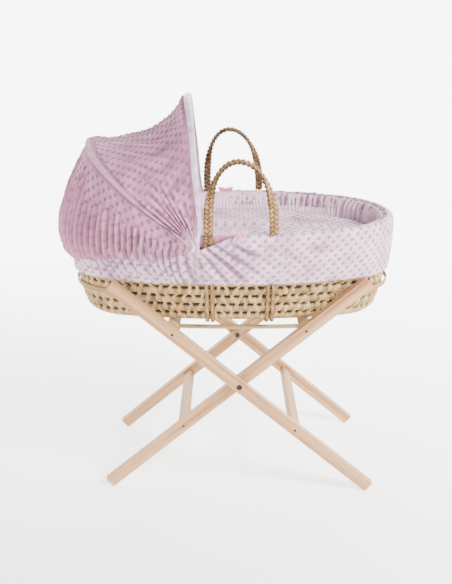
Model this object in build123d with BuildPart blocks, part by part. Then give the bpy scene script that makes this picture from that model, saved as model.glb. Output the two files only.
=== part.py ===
from build123d import *
import math
import os

os.makedirs("parts", exist_ok=True)

# Millimetres. +Z up, X along the basket with the hood at -X, front at -Y.
# The origin is on the floor under the middle of the whole object.

# ---- folding stand ----
STAND_X = 35.5            # middle of the stand
PIVOT_Z = 315.0           # height of the two crossing bolts
LEG_ANGLE = 40.9          # slope of an opened leg
LEG_UP = 423.0            # pivot to top end
LEG_DOWN = 467.0          # pivot to bottom end, before the foot is trimmed flat
LEG_WIDTH = 30.0
LEG_THICK = 21.0
STAND_HALF_DEPTH = 188.5  # middle to the outer face of an outer leg
LEG_GAP = 1.2             # between an outer and an inner leg
BAR_REACH = 224.0         # pivot to the upper crossbar
STRETCHER_REACH = 195.0   # pivot to the lower stretcher
SLAT_WIDE = 28.0
SLAT_THICK = 16.0
BOLT_R = 4.0
BOLT_HEAD_R = 7.0
BOLT_HEAD_TALL = 3.5
BOLT_HEAD_ROUND = 2.2
SLOT_LONG = 9.0           # screwdriver slot in a bolt head
SLOT_WIDE = 1.4
SLOT_DEEP = 2.4
WASHER_R = 9.0
NUT_R = 6.5
NUT_TALL = 6.0
NUT_ROUND = 1.6
NUT_SKIN = 1.4            # closed end of a nut
SCREW_R = 2.0
SCREW_HEAD_R = 3.7
SCREW_LENGTH = 44.0
PLAY = 0.06               # radial clearance round a bolt or a pin
PLATE_GAP = 0.3           # between faces that lie together
STRAP_WIDE = 28.0
STRAP_THICK = 1.6
STRAP_PLAY = 0.4
STRAP_EDGE_Y = 115.0      # inner edge of each webbing strap

OUTER_FACE = STAND_HALF_DEPTH - LEG_THICK
INNER_OUTSIDE = OUTER_FACE - LEG_GAP
INNER_FACE = INNER_OUTSIDE - LEG_THICK
SLOPE = math.radians(LEG_ANGLE)

# ---- palm basket ----
BASKET_X = 14.5           # middle of the oval
BASE_Z = 479.5
BASE_THICK = 12.0
WALL_THICK = 9.0
BASE_EDGE_R = 7.0
WALL_TOP = 712.0
RIM_TOP = 732.0
RIM_THICK = 12.0
RIM_ROUND = 4.0
BASE_HALF_WIDTH = 138.0
FLARE = 0.4124            # growth of the half width for each millimetre of height
END_RATIO = 0.8           # end radius of the oval over its half width
BEND_LOW_Z = 500.0        # the ends of the wall steepen at these two heights
BEND_HIGH_Z = 555.0
LENGTHS = ((BASE_Z, 372.0), (BEND_LOW_Z, 388.0), (BEND_HIGH_Z, 403.0), (740.0, 409.8))

# ---- cloth and filling ----
SKIRT_BOTTOM = 598.0
SKIRT_TOP = 736.0
SKIRT_OUT = 11.0          # outer face of the skirt beyond the palm wall
SKIRT_THICK = 2.5
LINER_IN = 12.5           # outer face of the liner inside the palm wall
LINER_THICK = 7.0
MATTRESS_THICK = 40.0
MATTRESS_ROUND = 8.0
QUILT_ROUND = 12.0
QUILT_BOTTOM = 660.0
QUILT_TOP = 695.0
QUILT_EDGE_X = -120.0
CLOTH_GAP = 1.5
RIBBON_Y = 256.4
RIBBON_Z = 727.0

# ---- handles ----
HANDLE_Y = 244.5
HANDLE_HINGE_Z = 744.5
HANDLE_HALF_SPAN = 75.5
HANDLE_LEG = 50.0         # straight foot of a handle's arch
HANDLE_RISE = 113.0       # height of the half oval above it
HANDLE_WIDE = 14.0
HANDLE_THICK = 8.0
FRONT_HANDLE_X = 36.0
REAR_HANDLE_X = 22.0
ROPE_WIDE = 12.0
ROPE_THICK = 5.0
ROPE_OFF_WALL = 1.8
ROPE_GAP = 1.5
ROPE_BEND_R = 12.0
END_STRIP_Z = 553.5
END_STRIP_TALL = 13.0
END_STRIP_THICK = 2.6
END_STRIP_PROUD = 7.0     # finger room behind the strip at the end of the oval
END_STRIP_REACH = 272.0   # from the middle of the oval to the tacked ends

# ---- hood ----
HOOD_X = -70.0
HOOD_Z = 710.0
FRONT_LEAN = 4.5          # degrees back from upright
REAR_LEAN = 53.5
HEM_LEAN = 97.0
FRONT_BOW_HEIGHT = 315.5
REAR_BOW_HEIGHT = 342.5
HEM_HEIGHT = 362.5
FRONT_BOW_Y = 254.0
REAR_BOW_Y = 249.5
BOW_WIRE_R = 2.0
ARCH_RISE = 0.35          # straight foot of an arch over its height
ARCH_CORNER = 0.7         # corner radius of an arch over its half width
EYE_R = 5.5
EYE_THICK = 3.4
CLOTH_OVER_BOW = 3.5      # wire centre to the inner face of the cloth
CANOPY_THICK = 2.0
CANOPY_FOOT = 20.0        # the cloth starts this far from the hinge line
HEM_HALF = 7.0
CLIP_R = 10.0
CLIP_Y = 243.5
CLIP_THICK = 2.5


def save(made, name):
    made.part.label = name
    export_step(made.part, f"parts/{name}.step")


def on_leg(reach, side):
    """Point on a leg's centre line; side is +1 where the leg rises to +X."""
    return (STAND_X + side * reach * math.cos(SLOPE), PIVOT_Z + reach * math.sin(SLOPE))


# ================= stand: legs =================

def leg_outline(side):
    """A square-cut bar through the pivot, trimmed flat where it meets the floor."""
    length = LEG_UP + LEG_DOWN
    middle = on_leg((LEG_UP - LEG_DOWN) / 2, side)
    with BuildSketch() as outline:
        with Locations(middle):
            Rectangle(length, LEG_WIDTH, rotation=side * LEG_ANGLE)
        with Locations((STAND_X, 0)):
            Rectangle(2 * length, LEG_WIDTH * 2, align=(Align.CENTER, Align.MAX), mode=Mode.SUBTRACT)
    return outline.sketch


def leg(face_y, side):
    """A front leg whose outer face is at y = -face_y, bored for its bolt and two screws."""
    face = Plane.XZ.offset(face_y)
    with BuildPart(face) as bar:
        with BuildSketch(face):
            add(leg_outline(side))
        extrude(amount=-LEG_THICK)
        with Locations((STAND_X, PIVOT_Z)):
            Hole(radius=BOLT_R + PLAY)
        with Locations(on_leg(BAR_REACH, side), on_leg(-STRETCHER_REACH, side)):
            CounterSinkHole(radius=SCREW_R + PLAY, counter_sink_radius=SCREW_HEAD_R + PLAY,
                            counter_sink_angle=90)
    return bar.part


with BuildPart() as outer_leg_front:
    add(leg(STAND_HALF_DEPTH, -1))
save(outer_leg_front, "outer_leg_front")

with BuildPart() as outer_leg_rear:
    add(leg(STAND_HALF_DEPTH, -1))
    mirror(about=Plane.XZ, mode=Mode.REPLACE)
save(outer_leg_rear, "outer_leg_rear")

with BuildPart() as inner_leg_front:
    add(leg(INNER_OUTSIDE, 1))
save(inner_leg_front, "inner_leg_front")

with BuildPart() as inner_leg_rear:
    add(leg(INNER_OUTSIDE, 1))
    mirror(about=Plane.XZ, mode=Mode.REPLACE)
save(inner_leg_rear, "inner_leg_rear")


# ================= stand: crossbars and stretchers =================

def slat(half_length, reach, side):
    """A bar between two legs, wide along the leg, with a pilot hole in each end."""
    place = on_leg(reach, side)
    end_face = Plane.XZ.offset(half_length)
    with BuildPart(end_face) as bar:
        with BuildSketch(end_face):
            with Locations(place):
                Rectangle(SLAT_WIDE, SLAT_THICK, rotation=side * LEG_ANGLE)
        extrude(amount=-half_length)
        with Locations(place):
            Hole(radius=SCREW_R + PLAY, depth=SCREW_LENGTH - LEG_THICK + 1)
        mirror(about=Plane.XZ)
    return bar.part


with BuildPart() as outer_crossbar:
    add(slat(OUTER_FACE, BAR_REACH, -1))
save(outer_crossbar, "outer_crossbar")

with BuildPart() as outer_stretcher:
    add(slat(OUTER_FACE, -STRETCHER_REACH, -1))
save(outer_stretcher, "outer_stretcher")

with BuildPart() as inner_crossbar:
    add(slat(INNER_FACE, BAR_REACH, 1))
save(inner_crossbar, "inner_crossbar")

with BuildPart() as inner_stretcher:
    add(slat(INNER_FACE, -STRETCHER_REACH, 1))
save(inner_stretcher, "inner_stretcher")


# ================= stand: fasteners =================

def screws(face_y, side):
    """Four countersunk screws, heads flush with the outer faces of one frame's legs."""
    cone_height = SCREW_HEAD_R - SCREW_R
    down = (Align.CENTER, Align.CENTER, Align.MAX)
    with BuildPart(Plane.XZ.offset(face_y)) as group:
        with Locations(on_leg(BAR_REACH, side), on_leg(-STRETCHER_REACH, side)):
            Cylinder(SCREW_R, SCREW_LENGTH, align=down)
            Cone(SCREW_R, SCREW_HEAD_R, cone_height, align=down)
        mirror(about=Plane.XZ)
    return group.part


with BuildPart() as outer_frame_screws:
    add(screws(STAND_HALF_DEPTH, -1))
save(outer_frame_screws, "outer_frame_screws")

with BuildPart() as inner_frame_screws:
    add(screws(INNER_OUTSIDE, 1))
save(inner_frame_screws, "inner_frame_screws")

NUT_TOP = INNER_FACE - PLATE_GAP
BOLT_END = NUT_TOP - NUT_TALL + 1.5

with BuildPart(Plane.XZ.offset(STAND_HALF_DEPTH)) as pivot_bolts:
    with Locations((STAND_X, PIVOT_Z)):
        Cylinder(BOLT_R, STAND_HALF_DEPTH - BOLT_END, align=(Align.CENTER, Align.CENTER, Align.MAX))
        Cylinder(BOLT_HEAD_R, BOLT_HEAD_TALL, align=(Align.CENTER, Align.CENTER, Align.MIN))
    fillet(pivot_bolts.faces().sort_by(Axis.Y)[0].edges(), BOLT_HEAD_ROUND)
    with Locations((STAND_X, PIVOT_Z, BOLT_HEAD_TALL)):
        Box(SLOT_LONG, SLOT_WIDE, SLOT_DEEP, mode=Mode.SUBTRACT,
            align=(Align.CENTER, Align.CENTER, Align.MAX))
    mirror(about=Plane.XZ)
save(pivot_bolts, "pivot_bolts")

with BuildPart(Plane.XZ.offset(NUT_TOP)) as pivot_nuts:
    with Locations((STAND_X, PIVOT_Z)):
        Cylinder(NUT_R, NUT_TALL, align=(Align.CENTER, Align.CENTER, Align.MAX))
    fillet(pivot_nuts.faces().sort_by(Axis.Y)[-1].edges(), NUT_ROUND)
    with Locations((STAND_X, PIVOT_Z)):
        Hole(radius=BOLT_R + PLAY, depth=NUT_TALL - NUT_SKIN)
    mirror(about=Plane.XZ)
save(pivot_nuts, "pivot_nuts")

with BuildPart(Plane.XZ.offset(OUTER_FACE)) as pivot_washers:
    with Locations((STAND_X, PIVOT_Z)):
        Cylinder(WASHER_R, LEG_GAP - PLATE_GAP, align=(Align.CENTER, Align.CENTER, Align.MAX))
        Hole(radius=BOLT_R + PLAY)
    mirror(about=Plane.XZ)
save(pivot_washers, "pivot_washers")


# ================= stand: webbing straps =================

def strap(y_low):
    """A flat strap looped round both upper crossbars, its straight run level between them."""
    left = on_leg(BAR_REACH, -1)
    right = on_leg(BAR_REACH, 1)
    loop_play = SLAT_THICK / 2 / math.sin(SLOPE) + 2 * STRAP_PLAY
    run = right[0] - left[0] - 2 * loop_play
    with BuildPart() as band:
        with BuildSketch(Plane.XZ.offset(-y_low)):
            for place, side in ((left, -1), (right, 1)):
                with Locations(place):
                    RectangleRounded(SLAT_WIDE + 2 * (STRAP_PLAY + STRAP_THICK),
                                     SLAT_THICK + 2 * (STRAP_PLAY + STRAP_THICK),
                                     STRAP_THICK, rotation=side * LEG_ANGLE)
            with Locations((STAND_X, left[1])):
                Rectangle(run, STRAP_THICK)
            for place, side in ((left, -1), (right, 1)):
                with Locations(place):
                    Rectangle(SLAT_WIDE + 2 * STRAP_PLAY, SLAT_THICK + 2 * STRAP_PLAY,
                              rotation=side * LEG_ANGLE, mode=Mode.SUBTRACT)
        extrude(amount=-STRAP_WIDE)
    return band.part


with BuildPart() as front_strap:
    add(strap(-STRAP_EDGE_Y - STRAP_WIDE))
save(front_strap, "front_strap")

with BuildPart() as rear_strap:
    add(strap(STRAP_EDGE_Y))
save(rear_strap, "rear_strap")


# ================= basket: ovals =================

def half_length_at(height):
    """Half length of the palm wall's outer face, read between the listed heights."""
    for (low, start), (high, end) in zip(LENGTHS, LENGTHS[1:]):
        if height <= high:
            return start + (end - start) * (height - low) / (high - low)
    return LENGTHS[-1][1]


def half_width_at(height):
    return BASE_HALF_WIDTH + (height - BASE_Z) * FLARE


def side_radius(half_length, half_width):
    """Radius of the long arcs that join the oval's round ends tangentially."""
    end = END_RATIO * half_width
    return ((half_length - end)**2 + half_width**2 - end**2) / (2 * (half_width - end))


def wall_y(x, height):
    """Distance of the palm wall's outer face from the middle plane, on its long sides."""
    width = half_width_at(height)
    side = side_radius(half_length_at(height), width)
    return math.sqrt(side**2 - (x - BASKET_X)**2) - side + width


def oval(half_length, half_width):
    """Four tangent arcs: two tight ends and two long flat sides."""
    end = END_RATIO * half_width
    centre = half_length - end
    side = side_radius(half_length, half_width)
    lean = math.atan2(centre, side - half_width)
    x = centre + end * math.sin(lean)
    y = end * math.cos(lean)
    with BuildSketch() as outline:
        with BuildLine():
            ThreePointArc((x, -y), (half_length, 0), (x, y))
            ThreePointArc((x, y), (0, half_width), (-x, y))
            ThreePointArc((-x, y), (-half_length, 0), (-x, -y))
            ThreePointArc((-x, -y), (0, -half_width), (x, -y))
        make_face()
    return outline.sketch


def oval_block(heights, grow):
    """A solid that follows the palm wall's outer face, moved out by grow."""
    with BuildPart() as block:
        for height in heights:
            with BuildSketch(Plane((BASKET_X, 0, height))):
                add(oval(half_length_at(height) + grow, half_width_at(height) + grow))
        loft(ruled=True)
    return block.part


with BuildPart() as palm_base:
    add(oval_block((BASE_Z, BASE_Z + BASE_THICK), -WALL_THICK - PLATE_GAP))
save(palm_base, "palm_base")

with BuildPart() as palm_wall:
    add(oval_block((BASE_Z, BEND_LOW_Z, BEND_HIGH_Z, WALL_TOP), 0))
    fillet(palm_wall.faces().sort_by(Axis.Z)[0].edges(), BASE_EDGE_R)
    add(oval_block((BASE_Z - 1, BEND_LOW_Z, BEND_HIGH_Z, WALL_TOP + 1), -WALL_THICK), mode=Mode.SUBTRACT)
save(palm_wall, "palm_wall")

with BuildPart() as palm_rim:
    add(oval_block((WALL_TOP, RIM_TOP), 0))
    add(oval_block((WALL_TOP - 1, RIM_TOP + 1), -RIM_THICK), mode=Mode.SUBTRACT)
    fillet(palm_rim.faces().sort_by(Axis.Z)[-1].edges(), RIM_ROUND)
save(palm_rim, "palm_rim")


# ================= basket: ropes and end handles =================

def foot_points(side):
    """Front and rear feet of one carrying rope; the rear handle sits a little to -X."""
    front = (FRONT_HANDLE_X + side * HANDLE_HALF_SPAN, -HANDLE_Y)
    rear = (REAR_HANDLE_X + side * HANDLE_HALF_SPAN, HANDLE_Y)
    return front, rear


def rope(side):
    """A pair of ropes down the front wall, under the base and up the rear wall."""
    front, rear = foot_points(side)
    middle = ((front[0] + rear[0]) / 2, 0, 0)
    across = (rear[0] - front[0], rear[1] - front[1], 0)
    upright = Plane(middle, x_dir=across, z_dir=(across[1], -across[0], 0))
    out = ROPE_THICK / 2 + ROPE_OFF_WALL
    top_z = SKIRT_TOP - SKIRT_THICK - 1.5
    low_z = BASE_Z - out
    with BuildPart() as pair:
        for shift in (-(ROPE_WIDE + ROPE_GAP) / 2, (ROPE_WIDE + ROPE_GAP) / 2):
            front_x = front[0] + shift
            rear_x = rear[0] + shift
            route = ((-wall_y(front_x, top_z) - out, top_z), (-wall_y(front_x, low_z) - out, low_z),
                     (wall_y(rear_x, low_z) + out, low_z), (wall_y(rear_x, top_z) + out, top_z))
            with BuildSketch(upright.offset(shift - ROPE_WIDE / 2)):
                with BuildLine():
                    FilletPolyline(*route, radius=ROPE_BEND_R)
                trace(line_width=ROPE_THICK)
            extrude(amount=ROPE_WIDE)
    return pair.part


with BuildPart() as carry_rope_left:
    add(rope(-1))
save(carry_rope_left, "carry_rope_left")

with BuildPart() as carry_rope_right:
    add(rope(1))
save(carry_rope_right, "carry_rope_right")


def end_strip(side):
    """A flat strip round one end, close to the wall at its tacked ends, proud at the middle."""
    length = half_length_at(END_STRIP_Z + END_STRIP_TALL) + END_STRIP_PROUD
    width = half_width_at(END_STRIP_Z + END_STRIP_TALL) - 1.0
    with BuildPart() as strip:
        with BuildSketch(Plane((BASKET_X, 0, END_STRIP_Z))):
            add(oval(length + END_STRIP_THICK, width + END_STRIP_THICK))
            add(oval(length, width), mode=Mode.SUBTRACT)
            with Locations((side * (END_STRIP_REACH - length), 0)):
                Rectangle(2 * length, 4 * width, mode=Mode.SUBTRACT)
        extrude(amount=END_STRIP_TALL)
    return strip.part


with BuildPart() as head_end_handle:
    add(end_strip(-1))
save(head_end_handle, "head_end_handle")

with BuildPart() as foot_end_handle:
    add(end_strip(1))
save(foot_end_handle, "foot_end_handle")


# ================= cloth: skirt, liner, mattress, quilt =================

def handle_slots():
    """Four upright slots where the ropes come up through the top of the skirt."""
    with BuildPart() as slots:
        for side in (-1, 1):
            with Locations(*[(x, y, SKIRT_TOP) for x, y in foot_points(side)]):
                Box(2 * ROPE_WIDE + 6, 2 * ROPE_THICK, 12)
    return slots.part


with BuildPart() as cover_skirt:
    add(oval_block((SKIRT_BOTTOM, SKIRT_TOP), SKIRT_OUT))
    add(oval_block((SKIRT_BOTTOM - 1, SKIRT_TOP - SKIRT_THICK), SKIRT_OUT - SKIRT_THICK),
        mode=Mode.SUBTRACT)
    add(oval_block((SKIRT_BOTTOM - 1, SKIRT_TOP + 1), -LINER_IN - LINER_THICK), mode=Mode.SUBTRACT)
    add(handle_slots(), mode=Mode.SUBTRACT)
save(cover_skirt, "cover_skirt")

LINER_LOW = BASE_Z + BASE_THICK + 0.5
LINER_FLOOR = 2.0
LINER_TOP = RIM_TOP + 1.0

with BuildPart() as padded_liner:
    add(oval_block((LINER_LOW, BEND_LOW_Z, BEND_HIGH_Z, LINER_TOP), -LINER_IN))
    add(oval_block((LINER_LOW + LINER_FLOOR, BEND_LOW_Z, BEND_HIGH_Z, LINER_TOP + 1),
                   -LINER_IN - LINER_THICK), mode=Mode.SUBTRACT)
save(padded_liner, "padded_liner")

MATTRESS_Z = LINER_LOW + LINER_FLOOR + 0.5
INSIDE = -LINER_IN - LINER_THICK - CLOTH_GAP

with BuildPart() as mattress:
    add(oval_block((MATTRESS_Z, BEND_LOW_Z, MATTRESS_Z + MATTRESS_THICK), INSIDE))
    fillet(mattress.faces().sort_by(Axis.Z)[-1].edges(), MATTRESS_ROUND)
save(mattress, "mattress")

with BuildPart() as quilt:
    add(oval_block((QUILT_BOTTOM, QUILT_TOP), INSIDE))
    with Locations((QUILT_EDGE_X, 0, QUILT_BOTTOM)):
        Box(6 * BASE_HALF_WIDTH, 6 * BASE_HALF_WIDTH, BASE_HALF_WIDTH, mode=Mode.SUBTRACT,
            align=(Align.MAX, Align.CENTER, Align.CENTER))
    fillet(quilt.edges().filter_by(Axis.Y), QUILT_ROUND)
save(quilt, "quilt")


# ================= ribbon bows =================

def ribbon(x, y, z):
    """A tied bow: two flat rounded loops, a knot and two tails, facing the front or the rear."""
    with BuildPart() as bow:
        with Locations((x, y, z)):
            Box(9, 6, 9)
        for side in (-1, 1):
            with BuildSketch(Plane((x, y, z), x_dir=(1, 0, 0), z_dir=(0, -1, 0)).offset(-1.5)):
                with Locations((side * 12, 2)):
                    Ellipse(11, 7, rotation=side * 20)
                with Locations((side * 9, -9)):
                    Rectangle(6, 18, rotation=side * 25)
            extrude(amount=3)
    return bow.part


with BuildPart() as front_ribbon_bow:
    add(ribbon(29.0, -RIBBON_Y, RIBBON_Z))
save(front_ribbon_bow, "front_ribbon_bow")

with BuildPart() as rear_ribbon_bow:
    add(ribbon(0.0, RIBBON_Y, RIBBON_Z))
save(rear_ribbon_bow, "rear_ribbon_bow")


# ================= carrying handles =================

def handle(x, y):
    """An upright arch: two legs with a round foot on the hinge line, and a half oval above."""
    plane = Plane((x, y, HANDLE_HINGE_Z), x_dir=(1, 0, 0), z_dir=(0, -1, 0))
    span = HANDLE_HALF_SPAN
    with BuildPart() as arch_bar:
        with BuildSketch(plane.offset(-HANDLE_WIDE / 2)):
            with BuildLine():
                Line((-span, 0), (-span, HANDLE_LEG))
                EllipticalCenterArc((0, HANDLE_LEG), span, HANDLE_RISE, 0, 180,
                                    angular_direction=AngularDirection.COUNTER_CLOCKWISE)
                Line((span, HANDLE_LEG), (span, 0))
            trace(line_width=HANDLE_THICK)
        extrude(amount=HANDLE_WIDE)
        with Locations((x - span, y, HANDLE_HINGE_Z), (x + span, y, HANDLE_HINGE_Z)):
            Cylinder(HANDLE_WIDE / 2, HANDLE_THICK, rotation=(0, 90, 0))
    return arch_bar.part


with BuildPart() as front_handle:
    add(handle(FRONT_HANDLE_X, -HANDLE_Y))
save(front_handle, "front_handle")

with BuildPart() as rear_handle:
    add(handle(REAR_HANDLE_X, HANDLE_Y))
save(rear_handle, "rear_handle")


# ================= hood: bows =================

def hood_plane(lean):
    """Plane through the hood's hinge line: local x is world Y, local y leans back to -X."""
    tilt = math.radians(lean)
    return Plane((HOOD_X, 0, HOOD_Z), x_dir=(0, 1, 0), z_dir=(math.cos(tilt), 0, math.sin(tilt)))


def arch_points(half_width, height):
    """Key points of an arch: straight feet, two corner arcs and a flatter top arc."""
    rise = ARCH_RISE * height
    upper = height - rise
    corner = ARCH_CORNER * half_width
    inset = half_width - corner
    top = (inset**2 + upper**2 - corner**2) / (2 * (upper - corner))
    lean = math.atan2(inset, top - upper)
    knee = (inset + corner * math.sin(lean), rise + corner * math.cos(lean))
    turn = (math.pi / 2 - lean) / 2
    shoulder = (inset + corner * math.cos(turn), rise + corner * math.sin(turn))
    return rise, shoulder, knee


def arch_edges(half_width, height, foot, closed):
    """Edges of the arch from (+half_width, foot) over the top to (-half_width, foot)."""
    rise, shoulder, knee = arch_points(half_width, height)
    with BuildLine() as line:
        Line((half_width, foot), (half_width, rise))
        ThreePointArc((half_width, rise), shoulder, knee)
        ThreePointArc(knee, (0, height), (-knee[0], knee[1]))
        ThreePointArc((-knee[0], knee[1]), (-shoulder[0], shoulder[1]), (-half_width, rise))
        Line((-half_width, rise), (-half_width, foot))
        if closed:
            Line((-half_width, foot), (half_width, foot))
    return line.line


def bow(half_width, height, lean):
    """A bent wire with a flat eye at each end, on the hood's hinge line."""
    plane = hood_plane(lean)
    path = Wire((plane * arch_edges(half_width, height, EYE_R - 0.5, False)).edges())
    with BuildPart() as wire:
        with BuildSketch(Plane(path @ 0, z_dir=path % 0)):
            Circle(BOW_WIRE_R)
        sweep(path=path)
        for side in (-1, 1):
            with BuildSketch(Plane((HOOD_X, side * half_width, HOOD_Z), z_dir=(0, 1, 0))):
                Circle(EYE_R)
            extrude(amount=EYE_THICK / 2, both=True)
        for side in (-1, 1):
            with BuildSketch(Plane((HOOD_X, side * half_width, HOOD_Z), z_dir=(0, 1, 0))):
                Circle(BOW_WIRE_R + PLAY)
            extrude(amount=EYE_THICK, both=True, mode=Mode.SUBTRACT)
    return wire.part


with BuildPart() as hood_front_bow:
    add(bow(FRONT_BOW_Y, FRONT_BOW_HEIGHT, FRONT_LEAN))
save(hood_front_bow, "hood_front_bow")

with BuildPart() as hood_rear_bow:
    add(bow(REAR_BOW_Y, REAR_BOW_HEIGHT, REAR_LEAN))
save(hood_rear_bow, "hood_rear_bow")

CANOPY_Y = FRONT_BOW_Y + CLOTH_OVER_BOW
PIN_END = CANOPY_Y - 0.3

with BuildPart(Plane.XZ.offset(CLIP_Y)) as hood_pivot_clips:
    with Locations((HOOD_X, HOOD_Z)):
        Cylinder(CLIP_R, CLIP_THICK, align=(Align.CENTER, Align.CENTER, Align.MIN))
        Cylinder(BOW_WIRE_R, PIN_END - CLIP_Y, align=(Align.CENTER, Align.CENTER, Align.MIN))
    mirror(about=Plane.XZ)
save(hood_pivot_clips, "hood_pivot_clips")


# ================= hood: cloth =================

def canopy_block(sections, grow, foot):
    """A solid swept round the hinge line through arches given as (lean, height)."""
    with BuildPart() as block:
        for lean, height in sections:
            with BuildSketch(hood_plane(lean)):
                with BuildLine():
                    add(arch_edges(CANOPY_Y + grow, height + CLOTH_OVER_BOW + grow, foot, True))
                make_face()
        loft(ruled=True)
    return block.part


def canopy(start, end, spans):
    """Thin cloth over the arches from start to end, open at both ends and below."""
    sections = []
    for index in range(spans + 1):
        part_way = index / spans
        sections.append((start[0] + (end[0] - start[0]) * part_way,
                         start[1] + (end[1] - start[1]) * part_way))
    inside = [(start[0] - 1, start[1])] + sections[1:-1] + [(end[0] + 1, end[1])]
    with BuildPart() as cloth:
        add(canopy_block(sections, CANOPY_THICK, CANOPY_FOOT))
        add(canopy_block(inside, 0, CANOPY_FOOT / 2), mode=Mode.SUBTRACT)
    return cloth.part


with BuildPart() as hood_front_panel:
    add(canopy((FRONT_LEAN, FRONT_BOW_HEIGHT), (REAR_LEAN - 0.5, REAR_BOW_HEIGHT), 1))
    split(bisect_by=hood_plane(FRONT_LEAN).offset(-HEM_HALF - 0.5), keep=Keep.BOTTOM)
save(hood_front_panel, "hood_front_panel")

with BuildPart() as hood_rear_panel:
    add(canopy((REAR_LEAN, REAR_BOW_HEIGHT), (HEM_LEAN, HEM_HEIGHT), 5))
save(hood_rear_panel, "hood_rear_panel")

with BuildPart() as hood_hem:
    with BuildSketch(hood_plane(FRONT_LEAN).offset(-HEM_HALF)):
        with BuildLine():
            add(arch_edges(CANOPY_Y + CANOPY_THICK, FRONT_BOW_HEIGHT + CLOTH_OVER_BOW + CANOPY_THICK,
                           CANOPY_FOOT, True))
        make_face()
    extrude(amount=2 * HEM_HALF)
    with BuildSketch(hood_plane(FRONT_LEAN).offset(-HEM_HALF - 1)):
        with BuildLine():
            add(arch_edges(CANOPY_Y, FRONT_BOW_HEIGHT + CLOTH_OVER_BOW, CANOPY_FOOT - 5, True))
        make_face()
    extrude(amount=2 * HEM_HALF + 2, mode=Mode.SUBTRACT)
save(hood_hem, "hood_hem")
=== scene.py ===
import math

import bmesh
import bpy
import numpy as np
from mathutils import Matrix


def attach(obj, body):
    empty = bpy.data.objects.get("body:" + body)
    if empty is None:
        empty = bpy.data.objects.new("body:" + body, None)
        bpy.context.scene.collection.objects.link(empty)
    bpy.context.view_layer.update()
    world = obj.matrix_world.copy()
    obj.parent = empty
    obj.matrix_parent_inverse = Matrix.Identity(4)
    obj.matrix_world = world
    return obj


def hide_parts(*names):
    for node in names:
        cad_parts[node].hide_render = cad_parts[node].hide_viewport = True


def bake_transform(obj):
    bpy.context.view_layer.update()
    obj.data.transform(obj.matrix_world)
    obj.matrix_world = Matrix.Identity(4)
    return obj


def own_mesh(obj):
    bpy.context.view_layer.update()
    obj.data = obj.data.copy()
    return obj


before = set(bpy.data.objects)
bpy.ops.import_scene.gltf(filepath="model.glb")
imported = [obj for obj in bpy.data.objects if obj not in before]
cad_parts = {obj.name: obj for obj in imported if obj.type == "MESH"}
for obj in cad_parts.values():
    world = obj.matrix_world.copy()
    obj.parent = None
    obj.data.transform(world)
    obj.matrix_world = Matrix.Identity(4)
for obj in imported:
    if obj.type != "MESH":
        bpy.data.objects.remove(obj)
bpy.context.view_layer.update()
print("frame loaded")

# metres; the head and hood are at -X, the foot at +X, the front at -Y

# the palm basket's outer face, as the frame has it
basket = {
    "middleX": 0.0145,
    "baseZ": 0.4795,
    "baseHalfWidth": 0.138,
    "flare": 0.4124,                                # half width gained per metre of height
    "endRatio": 0.8,                                # end radius over half width
    "lengthHeights": (0.4795, 0.500, 0.555, 0.740),
    "halfLengths": (0.372, 0.388, 0.403, 0.4098),
    "wallTopZ": 0.712,
    "rimTopZ": 0.732,
}

chance = np.random.default_rng(7)                   # every random draw comes from here


# ---- shapes ----

def smooth(low, high, value):
    # 0 below low, 1 above high, and 3t2 - 2t3 between
    t = np.clip((value - low) / (high - low), 0, 1)
    return t * t * (3 - 2 * t)


def mixed(a, b, share):
    return a + (b - a) * share


def unit(v):
    return v / np.maximum(np.linalg.norm(v, axis=-1, keepdims=True), 1e-9)


def vectors(*parts):
    # x, y and z of any shapes that fit together, as one array of points
    return np.stack(np.broadcast_arrays(*parts), -1)


def waves(x, y, seed, size):
    # soft noise from -1 to 1: a sum of nine sines of random direction, about size metres long
    draw = np.random.default_rng(seed)
    angle, phase = draw.uniform(0, 2 * math.pi, (2, 9))
    stretch = draw.uniform(0.7, 1.6, 9)
    total = 0
    for a, p, k in zip(angle, phase, stretch):
        total = total + np.sin((x * math.cos(a) + y * math.sin(a)) * 2 * math.pi * k / size + p)
    return total / 4.5


def halfLengthAt(z):
    return np.interp(z, basket["lengthHeights"], basket["halfLengths"])


def halfWidthAt(z):
    return basket["baseHalfWidth"] + (z - basket["baseZ"]) * basket["flare"]


def ovalParts(z, grow):
    # the four-arc oval at height z moved out by grow: end radius, its centre, side radius, the lean where
    # they meet, both arc lengths and the half width
    a, b = halfLengthAt(z) + grow, halfWidthAt(z) + grow
    end = basket["endRatio"] * b
    centre = a - end
    side = (centre**2 + b**2 - end**2) / (2 * (b - end))
    lean = np.arctan2(centre, side - b)
    return end, centre, side, lean, end * (math.pi / 2 - lean), side * lean, b


def ovalAt(turn, z, grow):
    # a point of the oval by share of its length: 0 at the foot, 0.25 rear, 0.5 head, 0.75 front;
    # a tight arc about (centre, 0), then a long arc about (0, b - side); also the outward direction
    end, centre, side, lean, endLength, sideLength, b = ovalParts(z, grow)
    quarter = np.mod(turn, 1) * 4
    which = np.floor(quarter)
    part = quarter - which
    part = np.where(which % 2 == 0, part, 1 - part)
    run = part * (endLength + sideLength)
    onEnd = run < endLength
    low, high = run / end, lean - (run - endLength) / side
    x = np.where(onEnd, centre + end * np.cos(low), side * np.sin(high))
    y = np.where(onEnd, end * np.sin(low), side * np.cos(high) - side + b)
    nx, ny = np.where(onEnd, np.cos(low), np.sin(high)), np.where(onEnd, np.sin(low), np.cos(high))
    signX = np.where((which == 1) | (which == 2), -1, 1)
    signY = np.where(which >= 2, -1, 1)
    return basket["middleX"] + signX * x, signY * y, signX * nx, signY * ny


def perimeterAt(z, grow):
    end, centre, side, lean, endLength, sideLength, b = ovalParts(z, grow)
    return 4 * (endLength + sideLength)


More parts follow.
